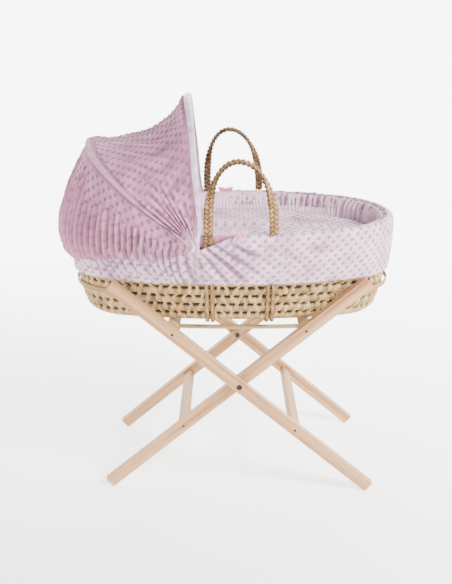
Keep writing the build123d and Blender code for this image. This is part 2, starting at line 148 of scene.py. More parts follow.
def turnAt(x, z, grow, front=True):
    # the share of the oval's length at which a long side has that x
    end, centre, side, lean, endLength, sideLength, b = ovalParts(z, grow)
    run = endLength + (lean - np.arcsin(abs(x - basket["middleX"]) / side)) * side
    part = run / (endLength + sideLength)
    turn = np.where(x > basket["middleX"], (4 - part) / 4, (2 + part) / 4)
    return turn if front else 1 - turn


class Shape:
    # gathers grids of points and puts them into one mesh

    def __init__(self):
        self.points, self.quads, self.uvs, self.marks, self.count = [], [], [], {}, 0

    def add(self, grid, uv=None, closeU=False, closeV=False, flip=False, **marks):
        # grid[v, u] holds points; neighbours become quads, wrapping round where closed
        rows, columns = grid.shape[:2]
        ids = np.arange(rows * columns).reshape(rows, columns)
        ids = np.concatenate([ids, ids[:, :1]], 1) if closeU else ids
        ids = np.concatenate([ids, ids[:1]], 0) if closeV else ids
        if uv is None:
            uv = vectors(np.arange(ids.shape[1])[None, :] * 0.003, np.arange(ids.shape[0])[:, None] * 0.003)
        corners = [(slice(None, -1), slice(None, -1)), (slice(None, -1), slice(1, None)),
                   (slice(1, None), slice(1, None)), (slice(1, None), slice(None, -1))]
        corners = corners[::-1] if flip else corners
        self.quads.append(np.stack([ids[c] for c in corners], -1).reshape(-1, 4) + self.count)
        self.uvs.append(np.stack([uv[c] for c in corners], -2).reshape(-1, 2))
        self.points.append(grid.reshape(-1, 3))
        for name, values in marks.items():
            self.marks.setdefault(name, []).append(np.broadcast_to(values, (rows, columns)).reshape(-1))
        self.count += rows * columns

    def make(self, name, finish, body, stands=(), weld=False):
        quads, points = np.concatenate(self.quads), np.concatenate(self.points)
        mesh = bpy.data.meshes.new(name)
        mesh.vertices.add(len(points))
        mesh.vertices.foreach_set("co", points.astype(np.float32).ravel())
        mesh.loops.add(quads.size)
        mesh.loops.foreach_set("vertex_index", quads.astype(np.int32).ravel())
        mesh.polygons.add(len(quads))
        mesh.polygons.foreach_set("loop_start", np.arange(0, quads.size, 4, dtype=np.int32))
        mesh.polygons.foreach_set("use_smooth", np.ones(len(quads), bool))
        layer = mesh.uv_layers.new(name="metres")
        layer.data.foreach_set("uv", np.concatenate(self.uvs).astype(np.float32).ravel())
        for mark, values in self.marks.items():
            attribute = mesh.attributes.new(mark, "FLOAT", "POINT")
            attribute.data.foreach_set("value", np.concatenate(values).astype(np.float32))
        mesh.update(calc_edges=True)
        if weld:
            closeUp(mesh)
        mesh.materials.append(finish)
        piece = bpy.data.objects.new(name, mesh)
        bpy.context.scene.collection.objects.link(piece)
        if body:
            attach(piece, body)
        if stands:
            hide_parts(*stands)
        return piece


def closeUp(mesh):
    # merges points that meet, such as the ends of tubes
    work = bmesh.new()
    work.from_mesh(mesh)
    bmesh.ops.remove_doubles(work, verts=work.verts, dist=1e-6)
    work.to_mesh(mesh)
    work.free()


def along(path):
    # length from the start of a path of points
    return np.concatenate([[0], np.cumsum(np.linalg.norm(np.diff(path, axis=0), axis=1))])


def tube(shape, path, across, halfWide, halfThick, sides=8, squareness=2.0, edgeShade=0.0, **marks):
    # an oval section carried along a path: its wide way follows across, its thin way tangent x across;
    # each end closes in on a point, and edgeShade deepens the mark "hollow" towards the section's two edges
    tangent = unit(np.gradient(path, axis=0))
    thin = unit(np.cross(tangent, across))
    wide = np.cross(thin, tangent)
    angle = np.linspace(0, 2 * math.pi, sides, endpoint=False)
    c, s = np.cos(angle), np.sin(angle)
    power = 2 / squareness
    c, s = np.sign(c) * abs(c)**power, np.sign(s) * abs(s)**power
    ring = (path[:, None] + halfWide * c[None, :, None] * wide[:, None]
            + halfThick * s[None, :, None] * thin[:, None])
    if edgeShade:
        marks["hollow"] = np.clip(marks["hollow"] + edgeShade * abs(c[None, :])**3, 0, 1)
    ring = np.concatenate([np.broadcast_to(path[0], ring[:1].shape), ring,
                           np.broadcast_to(path[-1], ring[:1].shape)])
    run = along(path)
    run = np.concatenate([[0], run, run[-1:]])
    uv = vectors(np.linspace(0, 1, sides + 1)[None, :] * 0.02, run[:, None])
    shape.add(ring, uv, closeU=True, flip=True, **marks)


# ---- finishes ----

class Value:
    # a socket used in sums: each operator adds a Math node

    def __init__(self, finish, socket):
        self.finish, self.socket = finish, socket

    def maths(self, operation, *others):
        return self.finish.node("Math", {"operation": operation}, dict(enumerate([self, *others])))

    def reflected(self, operation, other):
        return self.finish.node("Math", {"operation": operation}, {0: other, 1: self})

    def __add__(self, other):
        return self.maths("ADD", other)

    def __radd__(self, other):
        return self.reflected("ADD", other)

    def __sub__(self, other):
        return self.maths("SUBTRACT", other)

    def __rsub__(self, other):
        return self.reflected("SUBTRACT", other)

    def __mul__(self, other):
        return self.maths("MULTIPLY", other)

    def __rmul__(self, other):
        return self.reflected("MULTIPLY", other)

    def __truediv__(self, other):
        return self.maths("DIVIDE", other)

    def __rtruediv__(self, other):
        return self.reflected("DIVIDE", other)


class Finish:
    # one material: constants sit on the shader, node() adds anything else

    def __init__(self, name, **constants):
        self.material = bpy.data.materials.new(name)
        self.material.use_nodes = True
        self.tree = self.material.node_tree
        self.shader = self.tree.nodes["Principled BSDF"]
        for socket, value in constants.items():
            self.shader.inputs[socket.replace("_", " ")].default_value = value

    def node(self, kind, settings, values, output=0):
        made = self.tree.nodes.new("ShaderNode" + kind)
        for name, value in settings.items():
            if name == "stops":
                ramp = made.color_ramp
                while len(ramp.elements) < len(value):
                    ramp.elements.new(0.5)
                for element, (position, colour) in zip(ramp.elements, value):
                    element.position, element.color = position, colour
            else:
                setattr(made, name, value)
        for socket, value in values.items():
            self.join(value, made.inputs[socket])
        return Value(self, made.outputs[output])

    def join(self, value, socket):
        if isinstance(value, Value):
            self.tree.links.new(value.socket, socket)
        else:
            socket.default_value = value

    def set(self, **sockets):
        for name, value in sockets.items():
            self.join(value, self.shader.inputs[name.replace("_", " ")])

    def place(self):
        return self.node("TexCoord", {}, {}, "Object")

    def cloth(self):
        return self.node("UVMap", {"uv_map": "metres"}, {})

    def mark(self, name):
        return self.node("Attribute", {"attribute_name": name}, {}, "Fac")

    def turned(self, vector, scale=(1, 1, 1), rotation=(0, 0, 0), location=(0, 0, 0)):
        return self.node("Mapping", {}, {"Vector": vector, "Scale": scale, "Rotation": rotation,
                                         "Location": location})

    def noise(self, vector, scale, detail=3.0, roughness=0.5):
        return self.node("TexNoise", {}, {"Vector": vector, "Scale": scale, "Detail": detail,
                                          "Roughness": roughness}, "Fac")

    def parts(self, vector):
        made = self.node("SeparateXYZ", {}, {0: vector})
        outputs = made.socket.node.outputs
        return [Value(self, outputs[i]) for i in range(3)]

    def band(self, value, low, high):
        # value taken from low..high to 0..1, held at the ends
        return self.node("MapRange", {"clamp": True}, {"Value": value, "From Min": low, "From Max": high})

    def mix(self, share, first, second, blend="MIX"):
        return self.node("Mix", {"data_type": "RGBA", "blend_type": blend, "clamp_factor": True},
                         {0: share, 6: first, 7: second}, 2)

    def bump(self, height, distance, strength=1.0):
        values = {"Height": height, "Distance": distance, "Strength": strength}
        self.set(Normal=self.node("Bump", {}, values))


def colour(r, g, b):
    # screen colour of 0 to 255 to the linear colour that a shader takes
    made = [v / 255 / 12.92 if v <= 10 else ((v / 255 + 0.055) / 1.055)**2.4 for v in (r, g, b)]
    return (*made, 1.0)


pine = {
    "pale": colour(190, 148, 102),
    "line": colour(138, 92, 54),
    "flush": colour(172, 128, 86),
    "legLean": math.radians(40.9),
    "streaks": (2.2, 95.0, 70.0),       # noise scale along, across and through the piece
}


def pineFinish(name, turn):
    # growth lines run along the piece: stretched noise, over slow bands and fine pores
    wood = Finish(name, Roughness=0.52, Specular_IOR_Level=0.35)
    run = wood.turned(wood.place(), rotation=turn)
    streak = wood.noise(wood.turned(run, scale=pine["streaks"]), 1.0, 5.0, 0.62)
    band = wood.noise(wood.turned(run, scale=(0.9, 16, 22), location=(0.3, 0.1, 0.2)), 1.0, 2.0)
    pores = wood.noise(wood.turned(run, scale=(14, 900, 900)), 1.0, 2.0)
    tint = wood.mix(wood.band(streak, 0.36, 0.66), pine["pale"], pine["line"])
    tint = wood.mix(wood.band(band, 0.38, 0.68) * 0.55, tint, pine["flush"])
    tint = wood.mix(wood.band(pores, 0.58, 0.72) * 0.25, tint, pine["line"])
    wood.set(Base_Color=tint, Roughness=0.46 + streak * 0.16)
    wood.bump(streak * 0.7 + pores * 0.3, 0.0004, 0.6)
    return wood.material


def steelFinish(name, base, rough):
    metal = Finish(name, Metallic=1.0)
    spots = metal.noise(metal.place(), 900.0, 4.0)
    scratch = metal.noise(metal.turned(metal.place(), scale=(300, 60, 2400)), 1.0, 2.0)
    metal.set(Base_Color=metal.mix(metal.band(spots, 0.4, 0.75) * 0.6, base, colour(104, 96, 88)),
              Roughness=rough + scratch * 0.2)
    metal.bump(scratch, 0.0001, 0.4)
    return metal.material


def clipFinish():
    plastic = Finish("clearWhiteClip", Specular_IOR_Level=0.5, Coat_Roughness=0.2)
    mottle = plastic.noise(plastic.place(), 220.0, 4.0)
    plastic.set(Base_Color=plastic.mix(plastic.band(mottle, 0.35, 0.7), colour(236, 232, 228),
                                       colour(222, 216, 212)), Roughness=0.3 + mottle * 0.15)
    plastic.bump(mottle, 0.0002, 0.4)
    return plastic.material


palm = {
    "straw": colour(160, 122, 72),
    "green": colour(128, 108, 62),
    "brown": colour(84, 56, 30),
    "lit": colour(204, 172, 122),
    # painted shade colour, mixed into the hollows by the mark "hollow"
    "gap": colour(20, 11, 5),
    "golden": colour(158, 112, 62),
}


def palmFinish(name, deep, warmth=0.0):
    # each strip has its own tone (mark "tone"), fibres run along V, and the hollows (mark "hollow") get
    # painted shade, deep setting how dark
    leaf = Finish(name, Specular_IOR_Level=0.32)
    cloth = leaf.cloth()
    tone, hollow = leaf.mark("tone"), leaf.mark("hollow")
    fibre = leaf.noise(leaf.turned(cloth, scale=(1500, 60, 1)), 1.0, 3.0, 0.6)
    blotch = leaf.noise(leaf.turned(cloth, scale=(40, 55, 1)), 1.0, 3.0)
    stops = [(0.0, palm["brown"]), (0.3, palm["green"]), (0.55, palm["straw"]), (1.0, palm["lit"])]
    tint = leaf.node("ValToRGB", {"stops": stops}, {0: tone})
    tint = leaf.mix(leaf.band(fibre, 0.42, 0.75) * 0.45, tint, palm["brown"])
    tint = leaf.mix(leaf.band(blotch, 0.5, 0.75) * 0.4, tint, palm["green"])
    tint = leaf.mix(warmth, tint, palm["golden"])
    # painted shade in the gaps between coils and between strips
    tint = leaf.mix(leaf.band(hollow, 0.15, 0.85) * deep, tint, palm["gap"])
    leaf.set(Base_Color=tint, Roughness=0.5 + fibre * 0.25)
    leaf.bump(fibre * 0.6 + blotch * 0.4, 0.0006, 0.8)
    return leaf.material


dots = {
    "acrossPitch": 0.0125,      # between dot columns; every other column is shifted half a step
    "upPitch": 0.0270,
    "radius": 0.0054,
    "height": 0.0030,
}


def dotHeight(u, v):
    # staggered raised dots, 1 on a dot's crown and 0 between them: (1 - (d / r)2)1.5 about the nearest
    # lattice point
    column = u / dots["acrossPitch"]
    best = 0
    for shift in (0, 1):
        near = np.round((column - shift) / 2) * 2 + shift
        row = v / dots["upPitch"] - shift * 0.5
        du = (column - near) * dots["acrossPitch"]
        dv = (row - np.round(row)) * dots["upPitch"]
        best = np.maximum(best, np.clip(1 - (du**2 + dv**2) / dots["radius"]**2, 0, 1)**1.5)
    return best


def plushFinish(name, ground, crown, shade, sheen):
    # short pile: dots (mark "dot") stand paler than the ground with a ring of painted shade round each foot,
    # and the valleys of folds (mark "hollow") get painted shade
    pile = Finish(name, Roughness=0.92, Specular_IOR_Level=0.15, Sheen_Weight=sheen, Sheen_Roughness=0.45)
    cloth = pile.cloth()
    dot, hollow = pile.mark("dot"), pile.mark("hollow")
    nap = pile.noise(pile.turned(cloth, scale=(700, 700, 1)), 1.0, 3.0, 0.7)
    cloud = pile.noise(pile.turned(cloth, scale=(18, 14, 1)), 1.0, 3.0)
    tint = pile.mix(pile.band(cloud, 0.3, 0.7) * 0.5, ground, shade)
    tint = pile.mix(pile.band(nap, 0.35, 0.75) * 0.35, tint, shade)
    tint = pile.mix(pile.band(dot, 0.35, 0.9) * 0.7, tint, crown)
    # painted shade: a darker ring round the foot of each dot
    tint = pile.mix(dot * (1 - dot) * 3.2, tint, shade)
    tint = pile.mix(pile.band(hollow, 0.15, 0.9) * 0.75, tint, shade)
    pile.set(Base_Color=tint)
    pile.bump(nap, 0.0012, 0.7)
    return pile.material


def liningFinish(name, ground, shade):
    # fine plain weave: two crossed waves of thread, over soft clouding
    weave = Finish(name, Roughness=0.8, Specular_IOR_Level=0.2, Sheen_Weight=0.25, Sheen_Roughness=0.5)
    cloth = weave.cloth()
    hollow = weave.mark("hollow")
    warp = weave.node("TexWave", {"wave_type": "BANDS", "bands_direction": "X"},
                      {"Vector": cloth, "Scale": 260.0, "Distortion": 0.4}, "Fac")
    weft = weave.node("TexWave", {"wave_type": "BANDS", "bands_direction": "Y"},
                      {"Vector": cloth, "Scale": 260.0, "Distortion": 0.4}, "Fac")
    cloud = weave.noise(weave.turned(cloth, scale=(22, 22, 1)), 1.0, 3.0)
    tint = weave.mix(weave.band(cloud, 0.35, 0.7) * 0.5, ground, shade)
    # painted shade in the valleys, from the mark "hollow"
    tint = weave.mix(weave.band(hollow, 0.2, 1.0) * 0.6, tint, shade)
    weave.set(Base_Color=weave.mix(warp * weft * 0.12, tint, shade))
    weave.bump(warp * 0.5 + weft * 0.5, 0.0003, 0.5)
    return weave.material


def satinFinish(name, ground, shade):
    satin = Finish(name, Specular_IOR_Level=0.5, Sheen_Weight=0.3, Sheen_Roughness=0.3)
    cloth = satin.cloth()
    thread = satin.noise(satin.turned(cloth, scale=(160, 2600, 1)), 1.0, 2.0)
    cloud = satin.noise(satin.turned(cloth, scale=(40, 40, 1)), 1.0, 2.0)
    tint = satin.mix(satin.band(cloud, 0.3, 0.75), ground, shade)
    satin.set(Base_Color=tint, Roughness=0.36 + thread * 0.2)
    satin.bump(thread, 0.0002, 0.5)
    return satin.material


def webbingFinish():
    # herringbone: two diagonal waves, mirrored down the middle of the strap
    band = Finish("creamWebbing", Roughness=0.85, Specular_IOR_Level=0.2)
    x, y, z = band.parts(band.cloth())
    lean = (x * 900.0).maths("PINGPONG", 4.0)
    rib = (y * 3200.0 + lean * 3.0).maths("SINE") * 0.5 + 0.5
    dirt = band.noise(band.turned(band.cloth(), scale=(60, 30, 1)), 1.0, 4.0)
    # painted shade: the webbing itself is cream, and these tan colours stand for the shade of the basket
    # above it
    tint = band.mix(band.band(dirt, 0.35, 0.75) * 0.7, colour(206, 176, 124), colour(182, 148, 96))
    band.set(Base_Color=band.mix(rib * 0.4, tint, colour(140, 106, 62)))
    band.bump(rib, 0.0004, 0.7)
    return band.material


# ground, crown or shade colours of each cloth
plush = {
    "skirt": (colour(236, 204, 220), colour(250, 232, 242), colour(112, 70, 94)),
    "hood": (colour(198, 140, 165), colour(224, 178, 199), colour(104, 58, 82)),
}
plain = {
    "pale": (colour(228, 206, 217), colour(176, 132, 152)),
    "deep": (colour(206, 140, 166), colour(142, 76, 104)),
    "ticking": (colour(244, 240, 240), colour(214, 204, 206)),
    "hem": (colour(204, 184, 200), colour(150, 122, 144)),
    "ribbon": (colour(226, 148, 180), colour(190, 100, 138)),
}

pineOuter = pineFinish("pineOuterLegs", (0, -pine["legLean"], 0))
pineInner = pineFinish("pineInnerLegs", (0, pine["legLean"], 0))
pineSlat = pineFinish("pineSlats", (0, 0, math.radians(90)))
darkSteel = steelFinish("darkSteel", colour(44, 38, 34), 0.4)
bowWire = steelFinish("whiteCoatedWire", colour(196, 190, 188), 0.42)
clip = clipFinish()
palmWeave = palmFinish("palmWeave", 0.9)
braid = palmFinish("braidedPalm", 0.85, 0.42)
skirtPlush = plushFinish("lilacPinkPlush", *plush["skirt"], 0.2)
hoodPlush = plushFinish("mauvePinkPlush", *plush["hood"], 0.15)
lining = liningFinish("paleLining", *plain["pale"])
deepLining = liningFinish("pinkLining", *plain["deep"])
foam = liningFinish("mattressTicking", *plain["ticking"])
hemSatin = satinFinish("paleHemSatin", *plain["hem"])
ribbonSatin = satinFinish("pinkRibbonSatin", *plain["ribbon"])
webbing = webbingFinish()

nodeFinishes = {
    pineOuter: ("outer_leg_front", "outer_leg_rear"),
    pineInner: ("inner_leg_front", "inner_leg_rear"),
    pineSlat: ("outer_crossbar", "outer_stretcher", "inner_crossbar", "inner_stretcher"),
    darkSteel: ("outer_frame_screws", "inner_frame_screws", "pivot_bolts", "pivot_nuts", "pivot_washers"),
    bowWire: ("hood_front_bow", "hood_rear_bow"),
    clip: ("hood_pivot_clips",),
}
for material, nodes in nodeFinishes.items():
    for node in nodes:
        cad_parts[node].data.materials.clear()
        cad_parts[node].data.materials.append(material)
print("finishes made")


# ---- palm wall ----

weave = {
    "rows": 9,
    "crown": 0.0015,            # coil crown beyond the wall's face
    "gap": 0.0085,              # depth of the gap between two coils
    "gapShare": 1.26,           # above 1 the coils stand apart
    "stripWide": 0.0085,        # width of one wrapped strip
    "stripRound": 0.0014,
    "stitchPitch": 0.0236,      # between two fan stitches of a row
    "stitchUp": 0.0085,
    "stitchDown": 0.0120,
    "acrossStep": 0.0019,
    "upStep": 0.0021,
    "thickness": 0.009,
}


def weaveHeight(turn, run, length, pitch):
    # coils are half rounds along the slope; wrapped strips ripple them, and fan stitches bridge each gap,
    # narrow above it and spreading below; gives the height, each strip's tone and how hollow it is
    row = np.clip(np.floor(run / pitch), 0, weave["rows"] - 1).astype(int)
    inside = run / pitch - row
    bulge = np.sqrt(np.clip(1 - ((2 * inside - 1) * weave["gapShare"])**2, 0, 1))
    height = weave["crown"] - weave["gap"] * (1 - bulge)
    strips = int(length / weave["stripWide"])
    wobble = chance.uniform(-0.25, 0.25, (weave["rows"], strips))
    tones = chance.beta(3.2, 2.4, (weave["rows"], strips))
    place = turn * strips + 0.5 * (row % 2) + 0.5 * inside * np.where(row % 2 == 0, 1, -0.4)
    strip = np.floor(place).astype(int) % strips
    inStrip = place - np.floor(place)
    ridge = np.clip(1 - abs(2 * inStrip - 1 + wobble[row, strip] * 0.4)**2.2, 0, 1)
    height = height + weave["stripRound"] * (ridge - 0.6) * (0.4 + 0.6 * bulge) + wobble[row, strip] * 0.001
    tone = tones[row, strip]
    # the mark "hollow" sets painted shade: deepest in the gaps between coils, lighter between strips
    hollow = (1 - bulge)**1.5 * 1.35 + 0.35 * (1 - ridge)**2
    stitches = int(length / weave["stitchPitch"])
    for above in (0, 1):                                # the gap below a point, then the gap above it
        gap = row + above
        offset = run - gap * pitch
        shift = 0.5 * (gap % 2)
        near = np.round(turn * stitches - shift)
        jitter = chance.uniform(-0.16, 0.16, (weave["rows"] + 2, stitches + 1))
        index = np.mod(near, stitches).astype(int)
        away = (turn * stitches - shift - near - jitter[gap, index]) * weave["stitchPitch"]
        share = np.clip((offset + weave["stitchDown"]) / (weave["stitchUp"] + weave["stitchDown"]), 0, 1)
        half = mixed(0.0080, 0.0038, share**0.8)
        within = smooth(0, 0.35, 1 - abs(away - 0.0016 * share) / half)
        within = within * smooth(0, 0.08, share) * smooth(0, 0.08, 1 - share)
        inner = (gap > 0) & (gap < weave["rows"])
        within = within * inner
        level = weave["crown"] + 0.0006 - 0.0022 * np.exp(-(offset / 0.004)**2)
        level = level + 0.0005 * np.cos(away / half * 9.0)
        height = mixed(height, np.maximum(height, level), within)
        tone = mixed(tone, 0.62 + 0.3 * tones[np.minimum(row, weave["rows"] - 1), strip], within)
        hollow = hollow * (1 - within * 0.95)
    return height, np.clip(tone, 0, 1), np.clip(hollow, 0, 1)


def palmWall():
    # the wall's outer face leans out with height; the weave moves it along the outward direction,
    # then the sheet turns over the top and comes down inside
    slope = math.hypot(1, basket["flare"])
    tall = (basket["wallTopZ"] - basket["baseZ"]) * slope
    length = float(perimeterAt(0.56, 0))
    columns, rows = int(length / weave["acrossStep"]), int(tall / weave["upStep"])
    turn = np.arange(columns)[None, :] / columns
    run = np.linspace(0, tall, rows)[:, None]
    height, tone, hollow = weaveHeight(turn, run + 0 * turn, length, tall / weave["rows"])
    z = basket["baseZ"] + run / slope
    round_ = 0.007 * (1 - np.sqrt(np.clip(1 - (1 - np.clip(run / 0.007, 0, 1))**2, 0, 1)))
    x, y, nx, ny = ovalAt(turn, z, height - round_)
    outer = vectors(x, y, z + 0 * turn)
    innerZ = np.array([basket["wallTopZ"], 0.66, 0.60, 0.54, 0.50, basket["baseZ"] + 0.001])[:, None]
    x, y, nx, ny = ovalAt(turn, innerZ, -weave["thickness"])
    inner = vectors(x, y, innerZ + 0 * turn)
    grid = np.concatenate([outer, inner])
    run = np.concatenate([run[:, 0], tall + 0.01 + (basket["wallTopZ"] - innerZ[:, 0]) * slope])
    uv = vectors(np.linspace(0, length, columns + 1)[None, :], np.append(run, run[-1] + 0.009)[:, None])
    pad = np.zeros((len(innerZ), columns))
    return grid, uv, np.concatenate([tone, pad + 0.5]), np.concatenate([hollow, pad])


grid, uv, tone, hollow = palmWall()
half = grid.shape[1] // 2
for name, first, last in (("palmWallRear", 0, half), ("palmWallFront", half, grid.shape[1])):
    picked = np.arange(first, last + 1) % grid.shape[1]
    wall = Shape()
    wall.add(grid[:, picked], np.ascontiguousarray(uv[:, first:last + 1]), closeV=True,
             tone=tone[:, picked], hollow=hollow[:, picked])
    wall.make(name, palmWeave, "basket", ("palm_wall",))
print("palm wall woven")


# ---- palm base and rim ----

base = {"coils": 7, "drop": 0.0008, "topZ": 0.4912, "inset": 0.0093}


def palmBase():
    # concentric coils from the edge to the middle line, seen from below, and a plain upper face
    columns, rows = 520, 84
    turn = np.arange(columns)[None, :] / columns
    share = np.linspace(0, 1, rows)[:, None]
    reach = basket["baseHalfWidth"] - base["inset"] - 0.0006
    coil = share * base["coils"]
    inside = coil - np.floor(np.minimum(coil, base["coils"] - 1e-6))
    bulge = np.sqrt(np.clip(1 - (2 * inside - 1)**2, 0, 1))
    strips = 300
    tones = chance.beta(3.2, 2.4, (base["coils"] + 1, strips))
    index = np.floor(coil).astype(int) + 0 * turn.astype(int)
    strip = np.floor(turn * strips + 0.5 * share).astype(int) % strips
    ridge = np.sin(math.pi * np.mod(turn * strips + 0.5 * share, 1))
    z = basket["baseZ"] + 0.004 - (0.004 + base["drop"]) * bulge + 0.0008 * (1 - ridge)
    x, y, nx, ny = ovalAt(turn, basket["baseZ"], -base["inset"] - reach * share)
    below = vectors(x, y, z)
    above = below[::-1].copy()
    above[..., 2] = base["topZ"] - 0.002 * share[::-1]**4
    grid = np.concatenate([below[::-1], below[:1], above[-1:], above[::-1]])
    length = float(perimeterAt(basket["baseZ"], 0))
    run = np.linspace(0, 0.28, len(grid))
    uv = vectors(np.linspace(0, length, columns + 1)[None, :], run[:, None])
    tone = np.concatenate([tones[index, strip][::-1], np.full((len(grid) - rows, columns), 0.6)])
    # painted shade between the coils and strips of the base, through the mark "hollow"
    hollow = np.concatenate([np.clip(((1 - bulge)**1.5 + 0.3 * (1 - ridge)**2), 0, 1)[::-1],
                             np.zeros((len(grid) - rows, columns))])
    disc = Shape()
    disc.add(grid, uv, closeU=True, tone=tone, hollow=hollow)
    disc.make("palmBase", palmWeave, "basket", ("palm_base",), weld=True)


rim = {"halfWide": 0.0085, "halfTall": 0.0095, "wrapPitch": 0.011}


def palmRim():
    # a round bundle along the top of the wall, bound by slanting strips
    columns, around = 900, 20
    turn = np.arange(columns)[None, :] / columns
    angle = np.arange(around)[:, None] / around * 2 * math.pi
    length = float(perimeterAt(0.722, -0.006))
    wraps = int(length / rim["wrapPitch"])
    place = turn * wraps + angle / (2 * math.pi)
    ridge = np.sin(math.pi * np.mod(place, 1))**0.6
    tones = chance.beta(3, 2.4, wraps)[np.floor(place).astype(int) % wraps]
    swell = 1 + 0.12 * (ridge - 1)
    middleZ = (basket["wallTopZ"] + basket["rimTopZ"]) / 2 - 0.0005
    x, y, nx, ny = ovalAt(turn, middleZ, -0.0062 + rim["halfWide"] * 0.7 * swell * np.cos(angle))
    grid = vectors(x, y, middleZ + rim["halfTall"] * swell * np.sin(angle))
    uv = vectors(np.linspace(0, length, columns + 1)[None, :], np.linspace(0, 0.06, around + 1)[:, None])
    roll = Shape()
    # the mark "hollow" paints shade between the wrapped strips
    roll.add(grid, uv, closeU=True, closeV=True, tone=tones, hollow=np.clip(1 - ridge, 0, 1) * 0.8)
    roll.make("palmRim", palmWeave, "basket", ("palm_rim",))


rimCloth = {
    "profile": ((0.0012, 0.690), (0.0012, 0.726), (-0.001, 0.7325), (-0.006, 0.7342), (-0.013, 0.7335),
                (-0.0185, 0.729), (-0.0190, 0.712)),        # out from the wall, and height
    "gatherPitch": 0.008,
    "gatherHeight": 0.0007,
}


def rimBinding():
    # pink lining over the rim, seen where the cover is cut open for the handles
    columns, rows = 900, 30
    turn = np.arange(columns)[None, :] / columns
    profile = np.array(rimCloth["profile"])
    run = along(profile)
    even = np.linspace(0, run[-1], rows)[:, None]
    out, z = np.interp(even, run, profile[:, 0]), np.interp(even, run, profile[:, 1])
    length = float(perimeterAt(0.73, 0))
    gather = rimCloth["gatherHeight"] * np.sin(turn * length * 2 * math.pi / rimCloth["gatherPitch"])
    gather = gather + 0.0006 * waves(turn * length, even, 17, 0.04)
    grid = vectors(*ovalAt(turn, z, out + gather)[:2], z + 0 * turn)
    uv = vectors(np.linspace(0, length, columns + 1)[None, :], even)
    strip = Shape()
    # the mark "hollow" paints shade in the valleys of the gathers
    strip.add(grid, uv, closeU=True, hollow=np.clip(-gather * 700, 0, 1))
    return strip.make("rimBinding", deepLining, "basket"), length, float(run[-1])


palmBase()
palmRim()
binding, bindingLength, bindingWide = rimBinding()
print("base and rim made")


# ---- carrying ropes, end strips and handles ----

ropes = {
    "pairGap": 0.0135,          # between the two ropes of a pair
    "offWall": 0.0042,
    "topZ": 0.7325,
    "bendRadius": 0.016,
    "strands": 3,
    "pitch": 0.0340,
    "sway": 0.0031,
    "depth": 0.0018,
    "strandWide": 0.0027,
    "strandThick": 0.0024,
    "step": 0.0020,
    "footLowZ": 0.7110,         # the plait that shows where the cover is cut open
    "footTopZ": 0.741,
    "footOut": 0.0050,
}
handles = {
    "front": (0.036, -0.2445),
    "rear": (0.022, 0.2445),
    "halfSpan": 0.0755,
    "footZ": 0.7380,
    "topZ": 0.9050,
    "bluntness": 2.7,           # 2 is an oval arch, more is squarer
    "pitch": 0.0330,
    "sway": 0.0074,
    "depth": 0.0024,
    "strandWide": 0.0043,
    "strandThick": 0.0029,
}


def roundedPath(corners, radius, step):
    # straight runs between corners, each corner cut by a parabola of that reach, then even steps
    points = [corners[0]]
    t = np.linspace(0, 1, 9)[:, None]
    for before, corner, after in zip(corners, corners[1:], corners[2:]):
        start = corner + unit(before - corner) * radius
        stop = corner + unit(after - corner) * radius
        points.extend((1 - t)**2 * start + 2 * t * (1 - t) * corner + t**2 * stop)
    points = np.array([*points, corners[-1]])
    run = along(points)
    even = np.linspace(0, run[-1], int(run[-1] / step))
    return np.stack([np.interp(even, run, points[:, i]) for i in range(3)], -1)


def plait(shape, path, across, facing, sizes, strands, flat):
    # strand k sways across by sin(phase), and in depth by sin(2 phase) in a plait or cos(phase) in a twisted
    # rope; strands get painted shade where they sink and towards their edges
    run = along(path)
    tone = chance.beta(3, 2.2, strands)
    for k in range(strands):
        phase = 2 * math.pi * (run / sizes["pitch"] + k / strands)
        depth = np.sin(2 * phase) if flat else np.cos(phase)
        middle = path + across * (sizes["sway"] * np.sin(phase))[:, None]
        middle = middle + facing * (sizes["depth"] * depth)[:, None]
        sink = np.clip(0.5 - 0.5 * depth, 0, 1)
        tube(shape, middle, across, sizes["strandWide"], sizes["strandThick"], 10, edgeShade=0.75,
             tone=(tone[k] + 0.25 * np.sin(run * 90 + k))[np.r_[0, 0:len(run), -1], None],
             hollow=(sink**0.8 * 0.7)[np.r_[0, 0:len(run), -1], None])


def wallPoint(x, z, front, out):
    # on the wall's long side at that x, moved out
    width, side = halfWidthAt(z), ovalParts(z, 0)[2]
    y = math.sqrt(side**2 - (x - basket["middleX"])**2) - side + width + out
    return np.array([x, -y if front else y, z])


def carryRope(name, side, node):
    # two twisted ropes side by side, down the front wall, under the base and up the rear wall
    pair = Shape()
    for shift in (-0.5, 0.5):
        frontX = handles["front"][0] + side * handles["halfSpan"] + shift * ropes["pairGap"]
        rearX = handles["rear"][0] + side * handles["halfSpan"] + shift * ropes["pairGap"]
        lowZ = basket["baseZ"] - ropes["offWall"]
        corners = np.array([wallPoint(frontX, ropes["topZ"], True, ropes["offWall"]),
                            wallPoint(frontX, 0.60, True, ropes["offWall"]),
                            wallPoint(frontX, lowZ + 0.001, True, ropes["offWall"]),
                            wallPoint(rearX, lowZ + 0.001, False, ropes["offWall"]),
                            wallPoint(rearX, 0.60, False, ropes["offWall"]),
                            wallPoint(rearX, ropes["topZ"], False, ropes["offWall"])])
        path = roundedPath(corners, ropes["bendRadius"], ropes["step"])
        across = np.broadcast_to(np.array([1.0, 0, 0]), path.shape)
        facing = unit(np.cross(np.gradient(path, axis=0), across))
        plait(pair, path, across, facing, ropes, ropes["strands"], False)
    for x, y in (handles["front"], handles["rear"]) if side < 0 else ():    # the plaited end seen in the cut
        footX = x + side * handles["halfSpan"]
        low = wallPoint(footX, ropes["footLowZ"], y < 0, ropes["footOut"])
        high = np.array([footX, y, ropes["footTopZ"]])
        path = low + (high - low) * np.linspace(0, 1, 30)[:, None]
        across = np.broadcast_to(np.array([1.0, 0, 0]), path.shape)
        facing = unit(np.cross(np.gradient(path, axis=0), across))
        plait(pair, path, across, facing, handles, 3, True)
    pair.make(name, braid, "basket", (node,), weld=True)


